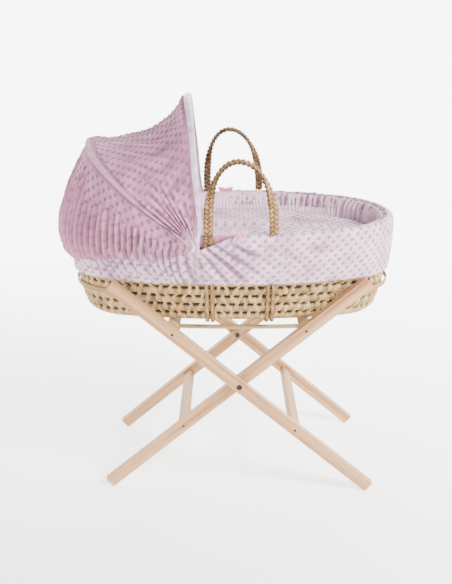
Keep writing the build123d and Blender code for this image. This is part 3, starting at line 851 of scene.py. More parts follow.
def handle(name, body, node, x, y, facing, lean, topZ):
    # an arch (1 - h**p)**0.5 wide at height h, plaited flat; it faces out at the feet, turns edge-on over
    # the top, and its crown leans towards the head
    sweep = np.linspace(-1, 1, 401)
    high = 1 - abs(sweep)**1.7
    wide = np.sign(sweep) * (1 - high**handles["bluntness"])**0.5
    arch = vectors(x + handles["halfSpan"] * wide - lean * high**2, y + 0 * sweep,
                   handles["footZ"] + (topZ - handles["footZ"]) * high)
    run = along(arch)
    even = np.linspace(0, run[-1], int(run[-1] / 0.0019))
    path = np.stack([np.interp(even, run, arch[:, i]) for i in range(3)], -1)
    tangent = unit(np.gradient(path, axis=0))
    out = np.broadcast_to(np.array([0, facing, 0.0]), path.shape)
    flat = unit(np.cross(tangent, out))
    high = (path[:, 2] - handles["footZ"]) / (topZ - handles["footZ"])
    twist = (smooth(0.25, 0.85, high) * math.radians(78))[:, None]
    across = flat * np.cos(twist) + out * np.sin(twist)
    face = out * np.cos(twist) - flat * np.sin(twist)
    arm = Shape()
    plait(arm, path, across, face, handles, 3, True)
    arm.make(name, braid, body, (node,), weld=True)


strips = {
    "lowZ": 0.5535,
    "tall": 0.013,
    "thick": 0.0026,
    "close": 0.0022,            # off the wall at the tips
    "proudHead": 0.0025,        # further off at the middle
    "proudFoot": 0.0075,
    "reach": 0.259,             # from the basket's middle to the tacked ends
    "tipRound": 0.0065,
}


def endStrip(name, side, node):
    # a flat palm strip round one end, close to the wall at its round tips and proud at the middle,
    # with three stitched tacks by each tip
    middleZ = strips["lowZ"] + strips["tall"] / 2
    edge = float(turnAt(basket["middleX"] + strips["reach"], middleZ, 0.002))
    centre = 0.0 if side > 0 else 0.5
    columns, rows = 420, 14
    s = np.linspace(-1, 1, columns)[None, :]
    turn = centre + s * (1 - edge)
    length = 2 * (1 - edge) * float(perimeterAt(middleZ, 0))
    fromTip = (1 - abs(s)) * length / 2
    proud = strips["proudFoot" if side > 0 else "proudHead"]
    out = strips["close"] + proud * smooth(0.0, 0.11, fromTip)
    inTip = np.clip(fromTip / strips["tipRound"], 0, 1)
    half = strips["tall"] / 2 * np.sqrt(np.clip(1 - (1 - inTip)**2, 0.02, 1))
    v = np.linspace(-1, 1, rows)[:, None]
    weaveRipple = 0.0005 * np.sin(turn * 2 * math.pi * 170) * np.sin(v * 2 * math.pi * 1.5)
    tack = 0
    for away in (0.006, 0.012, 0.018):
        tack = np.maximum(tack, np.exp(-((fromTip - away) / 0.0016)**2) * smooth(0.75, 0.55, abs(v)))
    z = middleZ + half * v
    x, y, nx, ny = ovalAt(turn, z, out + strips["thick"] + weaveRipple + 0.0008 * tack)
    front = vectors(x, y, z)
    x, y, nx, ny = ovalAt(turn, z, out)
    back = vectors(x, y, z)
    grid = np.concatenate([front, back[::-1]])
    uv = vectors(np.linspace(0, length, columns)[None, :], np.linspace(0, 0.03, len(grid) + 1)[:, None])
    toneRow = 0.5 + 0.25 * waves(turn * 3, v * 0.2, 21, 0.3)
    shade = np.clip(tack * 0.8 + 0.25 * abs(v)**6, 0, 1)
    strap = Shape()
    strap.add(grid, uv, closeV=True, tone=np.concatenate([toneRow, toneRow]),
              hollow=np.concatenate([shade, shade * 0]))
    strap.make(name, palmWeave, "basket", (node,))


carryRope("carryRopeHead", -1, "carry_rope_left")
carryRope("carryRopeFoot", 1, "carry_rope_right")
handle("frontHandle", "front_handle", "front_handle", *handles["front"], -1, 0.006, handles["topZ"])
handle("rearHandle", "rear_handle", "rear_handle", *handles["rear"], 1, 0.011, handles["topZ"] + 0.006)
endStrip("headEndStrip", -1, "head_end_handle")
endStrip("footEndStrip", 1, "foot_end_handle")
print("ropes, handles and strips made")


# ---- cover skirt ----

skirt = {
    "hemZ": 0.598,
    "rollZ": 0.722,             # where the cloth leaves the wall to roll over the rim
    "out": 0.0105,
    "hemOut": 0.0085,
    "topZ": 0.7375,
    "rollIn": -0.021,
    "step": 0.0030,
    "seamX": 0.138,
    "notchLeft": -0.068,        # the cover is cut open for the handle between these
    "notchRight": 0.014,
    "notchLeftZ": 0.694,
    "notchRightZ": 0.732,
    "rearShift": -0.014,
    "creaseFront": 0.0058,      # height of the creases that run from each ribbon
    "creaseRear": 0.0052,
    "pucker": 0.0050,           # height of the gathers round the head end
}


def rollProfile():
    # out from the wall and height of the cloth, from its hem over the rim to the inside, by length
    hem = np.array([[skirt["hemOut"], skirt["hemZ"]], [skirt["out"], 0.62],
                    [skirt["out"], skirt["rollZ"] - 0.012]])
    angle = np.linspace(0, math.pi, 25)
    middle = (skirt["out"] + skirt["rollIn"]) / 2
    half = (skirt["out"] - skirt["rollIn"]) / 2
    roll = np.stack([middle + half * np.cos(angle),
                     skirt["rollZ"] + (skirt["topZ"] - skirt["rollZ"]) * np.sin(angle)], -1)
    inside = np.array([[skirt["rollIn"] - 0.001, skirt["rollZ"] - 0.018]])
    points = np.concatenate([hem, roll, inside])
    return points, along(np.stack([points[:, 0] + points[:, 1] * basket["flare"], points[:, 1]], -1))


def fan(x, z, atX, atZ, count, reach, low, high):
    # creases that spread from a point: a sharp wave over the angle about it, fading with distance
    dx, dz = x - atX, atZ - z
    angle = np.arctan2(dx, np.maximum(dz, 1e-4))
    distance = np.hypot(dx, dz)
    within = smooth(low, low + 0.15, angle) * smooth(high, high - 0.15, angle)
    wave = np.sin(angle * count + 5 * distance / reach)
    sharp = np.sign(wave) * abs(wave)**0.7
    return sharp * within * smooth(0.0, 0.03, distance) * np.exp(-(distance / reach)**2)


def coverSkirt():
    # the cover hangs over the rim: its height comes from the profile, cut short along the two notches;
    # creases fan from each ribbon, the head end is puckered, and a seam runs down at each side
    profile, profileRun = rollProfile()
    length = float(perimeterAt(0.66, skirt["out"]))
    columns = int(length / skirt["step"])
    turn = np.arange(columns)[None, :] / columns
    full = profileRun[-1]
    rows = int(full / skirt["step"])
    share = np.linspace(0, 1, rows)[:, None]
    midX, midY, _, _ = ovalAt(turn, 0.71, skirt["out"])
    shift = np.where(midY > 0, skirt["rearShift"], 0)
    lineZ = np.interp(midX - shift, (skirt["notchLeft"], skirt["notchRight"]),
                      (skirt["notchLeftZ"], skirt["notchRightZ"]))
    cutRun = np.interp(lineZ, profile[:15, 1], profileRun[:15])
    inNotch = (smooth(skirt["notchLeft"] - 0.012, skirt["notchLeft"], midX - shift)
               * smooth(skirt["notchRight"] + 0.016, skirt["notchRight"], midX - shift))
    inNotch = inNotch * (abs(midY) > 0.15)
    run = share * mixed(full, cutRun, inNotch)
    out, z = np.interp(run, profileRun, profile[:, 0]), np.interp(run, profileRun, profile[:, 1])
    x, y, nx, ny = ovalAt(turn, z, out)
    u = turn * length
    outside = smooth(0.724, 0.705, z) * (out > 0)
    front = fan(x, z, -0.150, 0.795, 46, 0.27, 0.50, 1.42) * (y < 0) * smooth(-0.09, -0.04, x)
    rear = fan(x, z, -0.164, 0.795, 44, 0.26, 0.50, 1.42) * (y > 0) * smooth(-0.10, -0.05, x)
    creases = skirt["creaseFront"] * front + skirt["creaseRear"] * rear
    headward = smooth(-0.02, -0.12, x)
    pucker = np.sin(2 * math.pi * (u / 0.021 + 0.9 * waves(u, z, 3, 0.16) + (z - 0.6) * 9))
    pucker = skirt["pucker"] * np.sign(pucker) * abs(pucker)**0.8 * headward
    pucker = pucker * (0.4 + 0.6 * smooth(0.60, 0.66, z))
    sag = 0.0022 * waves(u, z, 5, 0.24) + 0.0012 * waves(u, z * 2, 6, 0.11)
    seam = -0.0022 * np.exp(-((x - skirt["seamX"]) / 0.0018)**2) * outside
    ripple = 0.0012 * np.sin(2 * math.pi * u / 0.017 + 2 * waves(u, z, 8, 0.1)) * smooth(0.0, -0.02, out)
    footward = smooth(0.08, 0.26, x) * smooth(-0.001, -0.011, out)
    ripple = ripple * (1 + 1.6 * footward) + 0.0030 * footward * waves(u, 0 * z, 10, 0.02)
    fold = (creases + pucker + sag) * outside
    folds = np.maximum(fold + 0.0022 * outside, -0.0010) + seam + ripple + 0.0009 * waves(u, run, 9, 0.05)
    hem = 0.0012 * np.exp(-((run - 0.006) / 0.0045)**2)
    dot = dotHeight(u, run) * (abs(x - skirt["seamX"]) > 0.003)
    x, y, nx, ny = ovalAt(turn, z, out + folds + hem + dots["height"] * dot * (out > -0.004))
    lift = dots["height"] * dot + 0.002 * waves(u, run, 12, 0.05)
    lift = lift * smooth(0.003, -0.004, out) * smooth(0.70, 0.73, z)
    grid = vectors(x, y, z + lift)
    uv = vectors(np.append(turn[0], 1)[None, :] * length, np.linspace(0, full, rows)[:, None])
    # painted shade: fold, seam and ripple valleys, and the inside of the cloth towards the foot end, are
    # darkened through the mark "hollow"
    hollow = np.clip(-fold * 260 - (seam + ripple) * 200, 0, 1)
    hollow = np.maximum(hollow, footward * np.clip(0.85 - ripple * 130, 0, 1))
    cover = Shape()
    cover.add(grid, uv, closeU=True, dot=dot, hollow=hollow)
    piece = cover.make("coverSkirt", skirtPlush, "basket", ("cover_skirt",))
    return piece, length, full


cover, coverLength, coverTall = coverSkirt()
print("cover skirt made", round(coverLength, 3), round(coverTall, 3))


# ---- liner, mattress and quilt ----

liner = {
    "lowZ": 0.4925,
    "topZ": 0.7325,
    "faceIn": -0.0205,
    "backIn": -0.0132,
    "ribPitch": 0.018,
    "ribDepth": 0.0028,
}


def paddedLiner():
    # gathered upright ribs on the inside; the sheet turns over its top edge and back down against the wall
    length = float(perimeterAt(0.62, liner["faceIn"]))
    columns, rows = 1000, 60
    turn = np.arange(columns)[None, :] / columns
    z = np.linspace(liner["lowZ"], liner["topZ"], rows)[:, None]
    u = turn * length
    x, y, nx, ny = ovalAt(turn, z, liner["faceIn"])
    foot = smooth(0.26, 0.36, x)
    wave = np.sin(2 * math.pi * (u / liner["ribPitch"] + 0.35 * waves(u, z, 31, 0.2)))
    rib = liner["ribDepth"] * (1 - abs(wave)**0.8) * (1 + 0.9 * foot)
    gather = 0.0042 * foot * (1 + waves(u, 0 * z, 34, 0.017)) * smooth(0.60, 0.70, z)
    rib = rib + 0.0018 * waves(u, z, 33, 0.09) + gather
    rib = rib * smooth(liner["topZ"] + 0.004, liner["topZ"] - 0.02, z)
    inner = vectors(*ovalAt(turn, z, liner["faceIn"] - rib)[:2], z + 0 * turn)
    back = z[::-10]
    outer = vectors(*ovalAt(turn, back, liner["backIn"])[:2], back + 0 * turn)
    grid = np.concatenate([inner, outer])
    run = np.concatenate([z[:, 0], 2 * liner["topZ"] + 0.01 - back[:, 0]])
    uv = vectors(np.linspace(0, length, columns + 1)[None, :], np.append(run, run[-1] + 0.007)[:, None])
    shade = np.clip(1 - rib / liner["ribDepth"] / (1 + 0.9 * foot), 0, 1) * 0.6
    shade = np.clip(shade + foot * (1.0 - gather * 150) * smooth(0.734, 0.72, z), 0, 1)
    hollow = np.concatenate([shade, np.zeros((len(back), columns))])
    pad = Shape()
    pad.add(grid, uv, closeU=True, closeV=True, flip=True, hollow=hollow)
    return pad.make("paddedLiner", lining, "basket", ("padded_liner",))


mattressSizes = {
    "lowZ": 0.4950,
    "highZ": 0.5330,
    "inset": -0.0250,
    "crown": 0.004,
    "edgeRound": 0.012,
}


def mattressPad():
    # an oval cushion: rings shrink from the edge to the middle line; its top is crowned, its edge rounded
    lowZ, highZ, inset = mattressSizes["lowZ"], mattressSizes["highZ"], mattressSizes["inset"]
    middleZ, tall = (lowZ + highZ) / 2, highZ - lowZ
    columns, rings, edgeRows = 460, 60, 12
    turn = np.arange(columns)[None, :] / columns
    angle = np.linspace(-math.pi / 2, math.pi / 2, edgeRows)[:, None]
    share = np.linspace(0, 1, rings)[1:, None]
    reach = (float(halfWidthAt(middleZ)) + inset - 0.001) * share
    grow = inset - reach
    edgeGrow = inset - mattressSizes["edgeRound"] * (1 - np.cos(angle))
    edgeZ = middleZ + tall / 2 * np.sin(angle)
    topZ = highZ + mattressSizes["crown"] * (1 - np.exp(-reach / 0.03))
    allGrow = np.concatenate([grow[::-1], edgeGrow, grow])
    allZ = np.concatenate([lowZ + 0 * share, edgeZ, topZ])
    x, y, nx, ny = ovalAt(turn, middleZ, allGrow)
    puff = (0.003 * waves(x, y, 41, 0.22) + 0.0015 * waves(x, y, 43, 0.08)) * smooth(lowZ, highZ, allZ)
    uv = np.concatenate([vectors(x, y), vectors(x[:, :1], y[:, :1])], 1)
    cushion = Shape()
    # painted shade in the dips of the cushion, through the mark "hollow"
    cushion.add(vectors(x, y, allZ + puff), uv, closeU=True, hollow=np.clip(-puff * 150, 0, 1))
    return cushion.make("softMattress", foam, "basket", ("mattress",), weld=True)


linerPiece = paddedLiner()
mattress = mattressPad()


quiltSizes = {
    "edgeX": -0.120,
    "lowZ": 0.662,
    "topZ": 0.697,
    "inset": -0.0245,
    "edgeRoll": 0.017,
    "footDrop": 0.012,
    "crown": 0.004,
}


def quilt():
    # a slab bounded by the basket's oval and a straight turned-back edge; the outline is swept from edge to
    # foot: every row is a closed loop over the top and back below, its thickness a rounded lens
    rows, half = 170, 150
    footX = basket["middleX"] + float(halfLengthAt(0.68)) + quiltSizes["inset"]
    share = np.linspace(0, 1, rows)[:, None]
    x = quiltSizes["edgeX"] + (footX - quiltSizes["edgeX"]) * np.sin(share * math.pi / 2)
    end, centre, side, lean, _, _, b = ovalParts(0.68, quiltSizes["inset"])
    away = x - basket["middleX"]
    onEnd = away > centre + end * math.cos(math.pi / 2 - lean)
    reach = np.where(onEnd, np.sqrt(np.clip(end**2 - (away - centre)**2, 1e-8, None)),
                     np.sqrt(side**2 - np.minimum(away, side)**2) - side + b)
    angle = np.linspace(0, 2 * math.pi, 2 * half, endpoint=False)[None, :]
    c, s = np.cos(angle), np.sin(angle)
    across = np.sign(c) * abs(c)**0.55
    y = reach * across
    fromFoot = footX - x
    full = (quiltSizes["topZ"] - quiltSizes["lowZ"]) / 2
    inEdge = np.clip(np.minimum(x - quiltSizes["edgeX"], fromFoot) / quiltSizes["edgeRoll"], 0, 1)
    plump = np.sqrt(np.clip(1 - (1 - inEdge)**2, 0, 1))
    lens = np.sign(s) * np.minimum(1, abs(s)**0.5 * 1.15)
    roll = 0.010 * np.exp(-((x - quiltSizes["edgeX"] - 0.02) / 0.018)**2)
    rise = -quiltSizes["footDrop"] * smooth(0.16, 0.38, x)
    z = (quiltSizes["topZ"] + quiltSizes["lowZ"]) / 2 + full * lens * plump + rise * (s > 0)
    top = (s > 0.15)
    puff = 0.0035 * waves(x, y, 51, 0.2) + 0.0018 * waves(x, y, 52, 0.085)
    channel = -0.003 * np.exp(-((x - quiltSizes["edgeX"] - 0.045) / 0.003)**2)
    dot = dotHeight(x, y) * top * (plump > 0.8)
    z = z + (puff + channel + roll) * np.clip(s * 2, 0, 1) * plump + dots["height"] * dot
    x = x + 0.004 * waves(y, 0 * y, 53, 0.25) * smooth(0.08, 0, x - quiltSizes["edgeX"])
    grid = vectors(x, y, z)
    uv = np.concatenate([vectors(x + 0 * y, y), vectors(x[:, :1], y[:, :1])], 1)
    slab = Shape()
    # painted shade in the dips and the quilted channel, through the mark "hollow"
    slab.add(grid, uv, closeU=True, flip=True, dot=dot, hollow=np.clip(-(puff + channel) * 160, 0, 1))
    return slab.make("softQuilt", skirtPlush, "basket", ("quilt",), weld=True)


quiltPiece = quilt()
print("liner, mattress and quilt made")


# ---- hood ----

hood = {
    "hinge": (-0.070, 0.0, 0.710),
    "frontLean": math.radians(4.5),
    "rearLean": math.radians(53.5),
    "frontHeight": 0.3155,
    "rearHeight": 0.3425,
    "frontHalf": 0.254,
    "rearHalf": 0.2495,
    "rise": 0.35,               # straight foot of an arch over its height
    "corner": 0.7,              # corner radius over half width
    "overWire": 0.0048,
    "footFrom": -0.013,
    "gatherX": (-0.405, -0.388, -0.338, -0.261, -0.138, -0.070),
    "gatherZ": (0.6245, 0.631, 0.646, 0.658, 0.669, 0.692),
    "gatherOut": 0.0135,
    "pleats": 58,
    "pleatDepth": 0.0240,
    "rearPanelTall": 0.31,      # cut length from ridge to gather
    "sagTop": 0.034,            # how far the front panel sinks between the bows
    "sagSide": 0.005,
    "foldHeight": 0.0068,
    "drag": 0.0020,
    "casing": 0.0055,           # height of the casing over the rear wire
    "bellyFront": 0.0125,
    "bellyRear": -0.005,
    "hemHalfWide": 0.0072,
    "hemHalfThick": 0.0042,
    "liningIn": 0.0094,
}


def archPoint(share, half, height):
    # an arch by share of its length, from its front foot at -Y: straight foot, corner arc, flatter top arc,
    # mirrored
    rise = hood["rise"] * height
    upper = height - rise
    corner = hood["corner"] * half
    inset = half - corner
    top = (inset**2 + upper**2 - corner**2) / (2 * (upper - corner))
    lean = np.arctan2(inset, top - upper)
    start = hood["footFrom"]
    lengths = (rise - start, corner * (math.pi / 2 - lean), top * lean)
    total = sum(lengths)
    run = (1 - abs(2 * share - 1)) * total
    foot = start + run
    turned = (run - lengths[0]) / corner
    over = lean - (run - lengths[0] - lengths[1]) / top
    y = np.where(run < lengths[0], half, np.where(run < lengths[0] + lengths[1],
                 inset + corner * np.cos(turned), top * np.sin(over)))
    h = np.where(run < lengths[0], foot, np.where(run < lengths[0] + lengths[1],
                 rise + corner * np.sin(turned), height - top + top * np.cos(over)))
    return np.where(share < 0.5, -y, y), h, 2 * total


def onHood(y, h, lean):
    # a point h up the plane that leans back from the hinge line
    return vectors(hood["hinge"][0] - h * np.sin(lean), y, hood["hinge"][2] + h * np.cos(lean))


def gridNormal(grid):
    # unit normal of a grid of points, from its two directions
    return unit(np.cross(np.gradient(grid, axis=1), np.gradient(grid, axis=0)))


def hemAhead(share):
    # the hem bellies forward of its wire on the front side and a little back on the rear side, not at its
    # top or feet
    side = np.minimum(share, 1 - share) * 2
    belly = smooth(0.0, 0.16, side) * smooth(0.95, 0.45, side)
    return 0.001 + np.where(share < 0.5, hood["bellyFront"], hood["bellyRear"]) * belly


def frontPanel(name, finish, inward):
    # stretched from the front bow to the rear bow, sagging between them, most just behind the hem; folds lie
    # along the ridge. The same shape set inward makes the plain lining that hides the wires
    columns, rows = (220, 64) if inward else (400, 114)
    share = np.linspace(0, 1, columns)[None, :]
    t = np.linspace(0, 1, rows)[:, None]
    fromFoot = np.minimum(share, 1 - share)
    over = hood["overWire"]
    yFront, hFront, length = archPoint(share, hood["frontHalf"] + over, hood["frontHeight"] + over)
    yRear, hRear, _ = archPoint(share, hood["rearHalf"] + over + 0.002, hood["rearHeight"] + over)
    front, rear = onHood(yFront, hFront, hood["frontLean"]), onHood(yRear, hRear, hood["rearLean"])
    ahead = np.array([math.cos(hood["frontLean"]), 0, math.sin(hood["frontLean"])])
    front = front + ahead * hemAhead(share)[..., None]
    grid = mixed(front, rear, t[..., None])
    up = gridNormal(grid)
    low = smooth(0.26, 0.02, fromFoot)
    behind = np.clip((t - 0.07) / 0.93, 0, 1)
    sag = -hood["sagTop"] * np.sin(math.pi * behind**0.72) * smooth(0.12, 0.47, fromFoot)
    sag = sag - hood["sagSide"] * np.sin(math.pi * behind) * smooth(0.04, 0.2, fromFoot)
    folds = np.sin(2 * math.pi * (t * 9.5 + 0.8 * waves(share, t, 61, 0.8)))
    folds = hood["foldHeight"] * (0.35 + 0.65 * np.sign(folds) * abs(folds)**0.8)
    folds = folds * low * smooth(0.1, 0.55, t) * smooth(1.0, 0.95, t)
    u, v = share * length, t * 0.30 * mixed(0.1, 1.0, smooth(0, 0.35, fromFoot))
    soft = 0.0022 * waves(u, v, 62, 0.16)
    overWire = 0.0032 * np.exp(-((t - 0.055) / 0.035)**2) * smooth(0.002, 0.010, hemAhead(share))
    corner = 0.0050 * smooth(0.16, 0.03, fromFoot) * smooth(0.10, 0.4, t)
    casing = np.sqrt(np.clip(1 - ((t - 0.965) / 0.035)**2, 0, 1)) * smooth(0.03, 0.16, fromFoot)
    casing = overWire + corner + hood["casing"] * casing
    seam = -0.0024 * np.exp(-((t - 0.925) / 0.007)**2)
    drag = share * 13 + t * 3.2 * np.sign(share - 0.5) + 0.9 * waves(share, t, 63, 0.7)
    drag = hood["drag"] * np.sin(2 * math.pi * drag)
    drag = drag * smooth(0.95, 0.6, t) * smooth(0.08, 0.3, t) * smooth(0.05, 0.2, fromFoot)
    crease = 0.0030 * waves(u, t * 0.08, 64, 0.045) * smooth(0.90, 0.95, t)
    across = t * np.linalg.norm(front - rear, axis=-1)
    dot = dotHeight(u, across) * (t < 0.92) * (t > 0.05)
    if inward:
        dot, folds, drag, casing, seam = 0 * dot, 0.3 * folds, 0.5 * drag, 0 * casing, 0 * seam
    lift = sag - inward + folds + drag + crease + soft * smooth(0, 0.1, t) * smooth(1, 0.9, t) + casing + seam
    grid = grid + up * (lift + dots["height"] * dot)[..., None]
    # painted shade: valleys of the folds, drag and seam, and a band just behind the hem, are darkened through
    # the mark "hollow"
    valley = -(folds - 0.0022 * low + drag + 0.5 * crease + soft * 0.4 + seam) * 230
    panel = Shape()
    panel.add(grid, vectors(u, across), dot=dot * 0.9 + smooth(0.93, 0.95, t) * 0.85,
              hollow=np.clip(valley + 0.8 * smooth(0.09, 0.03, t), 0, 1))
    stands = () if inward else ("hood_front_panel",)
    piece = panel.make(name, finish, None, stands)
    return piece, length, float(across[-1].mean())


def rearPanel():
    # from the ridge to the gather line on a cubic curve for each column: it leaves the ridge almost straight
    # down and comes in under the bulge; pleats deepen towards the gather
    columns, rows = 520, 92
    share = np.linspace(0, 1, columns)[None, :]
    t = np.linspace(0, 1, rows)[:, None]
    over = hood["overWire"]
    yRidge, hRidge, length = archPoint(share, hood["rearHalf"] + over, hood["rearHeight"] + over)
    ridge = onHood(yRidge, hRidge, hood["rearLean"])
    startTurn = float(turnAt(hood["gatherX"][-1], 0.69, hood["gatherOut"]))
    turn = startTurn + (1 - 2 * startTurn) * share
    x = ovalAt(turn, 0.66, hood["gatherOut"])[0]
    gatherZ = np.interp(x, hood["gatherX"], hood["gatherZ"])
    x, y, nx, ny = ovalAt(turn, gatherZ, hood["gatherOut"])
    gather = vectors(x, y, gatherZ)
    out = vectors(nx, ny, 0 * nx)
    down = np.array([0, 0, -1.0])
    back = -np.array([math.cos(hood["rearLean"]), 0, math.sin(hood["rearLean"])])
    leave = unit(0.45 * back + 0.55 * down + 0.12 * out)
    arrive = unit(0.9 * down - 0.5 * out)
    gap = np.linalg.norm(gather - ridge, axis=-1)[..., None]
    first, second = ridge + leave * gap * 0.36, gather - arrive * gap * 0.34
    t3 = t[..., None]
    grid = (1 - t3)**3 * ridge + 3 * t3 * (1 - t3)**2 * first
    grid = grid + 3 * t3**2 * (1 - t3) * second + t3**3 * gather
    up = gridNormal(grid)
    starts = chance.uniform(-0.10, 0.30, hood["pleats"] + 2)
    depths = chance.uniform(0.6, 1.25, hood["pleats"] + 2)
    place = share * hood["pleats"] + 0.45 * waves(share, 0 * share, 71, 0.35)
    place = place + 0.25 * waves(share, t, 72, 0.7) * t
    index = np.clip(np.floor(place).astype(int) + 1, 0, hood["pleats"] + 1)
    edge = abs(2 * (place - np.floor(place)) - 1)
    reach = smooth(starts[index], starts[index] + 0.42, t + 0 * share)
    open_ = smooth(0.0, 0.10, np.minimum(share, 1 - share))
    pleats = hood["pleatDepth"] * depths[index] * (0.5 - edge**1.4) * reach * mixed(0.35, 1, open_)
    pleats = pleats * smooth(1.06, 0.86, t)
    pleats = pleats + 0.0018 * np.cos(2 * math.pi * place * 2) * smooth(0.82, 1, t)
    soft = 0.003 * waves(share * length, t * 0.3, 73, 0.2) * smooth(0, 0.2, t) * smooth(1, 0.8, t)
    tuck = -0.006 * smooth(0.05, 0, t)
    across = t * gap[..., 0]
    u = share * length
    dot = dotHeight(u, across) * smooth(0.04, 0.08, t) * (1 - 0.8 * reach)
    grid = grid + up * (pleats + soft + tuck + dots["height"] * dot)[..., None]
    uv = vectors(u, across)
    panel = Shape()
    # painted shade: the pleat valleys, and the gather line at the bottom, are darkened through the mark
    # "hollow"
    panel.add(grid, uv, dot=dot * 0.8,
              hollow=np.clip((edge**2 - 0.25) * 1.4 * reach * mixed(0.5, 1, open_) + smooth(0.97, 1, t),
                             0, 1))
    piece = panel.make("hoodRearPanel", hoodPlush, None, ("hood_rear_panel",))
    return piece, length, hood["rearPanelTall"]


def hoodHem():
    # a flat tube over the front wire: a rounded section carried round the front arch, a little gathered
    columns, around = 520, 22
    share = np.linspace(0, 1, columns)[:, None]
    angle = np.arange(around)[None, :] / around * 2 * math.pi
    y, h, length = archPoint(share, hood["frontHalf"] + 0.003, hood["frontHeight"] + 0.003)
    ahead = hemAhead(share)[..., None]
    c, s = np.cos(angle), np.sin(angle)
    pinch = 1 + 0.05 * waves(share * length, 0, 81, 0.03)
    wide = hood["hemHalfWide"] * np.sign(c) * abs(c)**0.7 * pinch
    thick = hood["hemHalfThick"] * np.sign(s) * abs(s)**0.8
    dy, dh = np.gradient(y, axis=0), np.gradient(h, axis=0)
    size = np.hypot(dy, dh)
    outY, outH = -dh / size, dy / size
    spine = onHood(y + outY * thick * -1, h + outH * thick * -1, hood["frontLean"])
    normal = np.array([math.cos(hood["frontLean"]), 0, math.sin(hood["frontLean"])])
    grid = spine + normal * (wide[..., None] + ahead)
    ends = np.concatenate([np.broadcast_to(grid[:1].mean(1, keepdims=True), grid[:1].shape), grid,
                           np.broadcast_to(grid[-1:].mean(1, keepdims=True), grid[:1].shape)])
    run = np.concatenate([[0], share[:, 0] * length, [length]])
    uv = vectors(np.linspace(0, 0.03, around + 1)[None, :], run[:, None])
    band = Shape()
    band.add(ends, uv, closeU=True)
    return band.make("hoodHem", hemSatin, "front_bow", ("hood_hem",), weld=True), length


frontCloth, frontLength, frontWide = frontPanel("hoodFrontPanel", hoodPlush, 0)
innerCloth, _, _ = frontPanel("hoodLining", lining, hood["liningIn"])
rearCloth, rearLength, rearWide = rearPanel()
hem, hemLength = hoodHem()
print("hood made")


# ---- ribbons and straps ----

ribbon = {
    "wide": 0.0085,
    "loop": 0.021,
    "bulge": 0.0045,
    "tail": 0.024,
    "thick": 0.0005,
    "front": (0.029, -0.2530, 0.7420),
    "rear": (0.000, 0.2530, 0.7340),
}


def ribbonStrip(shape, path, across, wide):
    # a thin flat section carried along a path
    tube(shape, path, across, wide / 2, ribbon["thick"], 12, 5.0)


def ribbonBow(name, x, y, z, node):
    # two loops, two tails and a wrapped knot
    facing = math.copysign(1, y)
    bow = Shape()
    t = np.linspace(0, 2 * math.pi, 60)
    up = np.array([0, 0, 1.0])
    for side in (-1, 1):
        reach = ribbon["loop"] * (1 - np.cos(t)) / 2
        path = vectors(x + side * reach, y + facing * ribbon["bulge"] * np.sin(t) * np.sin(t / 2),
                       z + 0.004 * (reach / ribbon["loop"]) + 0.0015 * np.sin(t))
        across = np.broadcast_to(up + np.array([0.25 * side, 0, 0]), path.shape)
        ribbonStrip(bow, path, across, ribbon["wide"])
        s = np.linspace(0, 1, 30)
        path = vectors(x + side * (0.003 + 0.010 * s), y + facing * (0.0015 + 0.0012 * np.sin(6 * s)),
                       z - 0.003 - ribbon["tail"] * 0.75 * s)
        across = np.broadcast_to(np.array([1.0, 0, 0.25 * side]), path.shape)
        ribbonStrip(bow, path, across, ribbon["wide"] * 0.8)
    angle = np.linspace(0, 2 * math.pi, 40)
    path = vectors(x + 0 * angle, y + facing * (0.001 + 0.0042 * np.cos(angle)), z + 0.0048 * np.sin(angle))
    ribbonStrip(bow, path, np.broadcast_to(np.array([1.0, 0, 0]), path.shape), 0.0075)
    bow.make(name, ribbonSatin, "basket", (node,), weld=True)


ribbonBow("frontRibbonBow", *ribbon["front"], "front_ribbon_bow")
ribbonBow("rearRibbonBow", *ribbon["rear"], "rear_ribbon_bow")

strap = {
    "standX": 0.0355,
    "pivotZ": 0.315,
    "barReach": 0.224,
    "slatWide": 0.028,
    "slatThick": 0.016,
    "play": 0.0013,
    "thick": 0.0008,
    "halfWide": 0.0138,
    "sag": 0.0025,
    "offMiddle": 0.129,         # of each strap, along Y
}


def webbingStrap(name, y, node):
    # a loop round each upper crossbar and a run between them that sags a little
    lean = pine["legLean"]
    band = Shape()
    across = np.array([0, 1.0, 0])
    barX = strap["barReach"] * math.cos(lean)
    barZ = strap["pivotZ"] + strap["barReach"] * math.sin(lean)
    t = np.linspace(0, 2 * math.pi, 90)
    c, s = np.cos(t), np.sin(t)
    for side in (-1, 1):
        lengthwise = (strap["slatWide"] / 2 + strap["play"]) * np.sign(c) * abs(c)**0.22
        over = (strap["slatThick"] / 2 + strap["play"]) * np.sign(s) * abs(s)**0.22
        x = strap["standX"] + side * (barX + lengthwise * math.cos(lean) - over * math.sin(lean))
        z = barZ + lengthwise * math.sin(lean) + over * math.cos(lean)
        path = vectors(x, y + 0 * x, z)
        tube(band, path, np.broadcast_to(across, path.shape), strap["halfWide"], strap["thick"], 12, 6.0)
    run = np.linspace(-1, 1, 120)
    reach = barX - (strap["slatThick"] / 2 + strap["play"]) / math.sin(lean) + 0.001
    path = vectors(strap["standX"] + reach * run, y + 0 * run, barZ - strap["sag"] * (1 - run**2))
    tube(band, path, np.broadcast_to(across, path.shape), strap["halfWide"], strap["thick"], 12, 6.0)
    piece = band.make(name, webbing, "outer_frame", (node,), weld=True)
    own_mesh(piece)


webbingStrap("frontStrap", -strap["offMiddle"], "front_strap")
webbingStrap("rearStrap", strap["offMiddle"], "rear_strap")
print("ribbons and straps made")


# ---- cloth thickness and baked placement ----

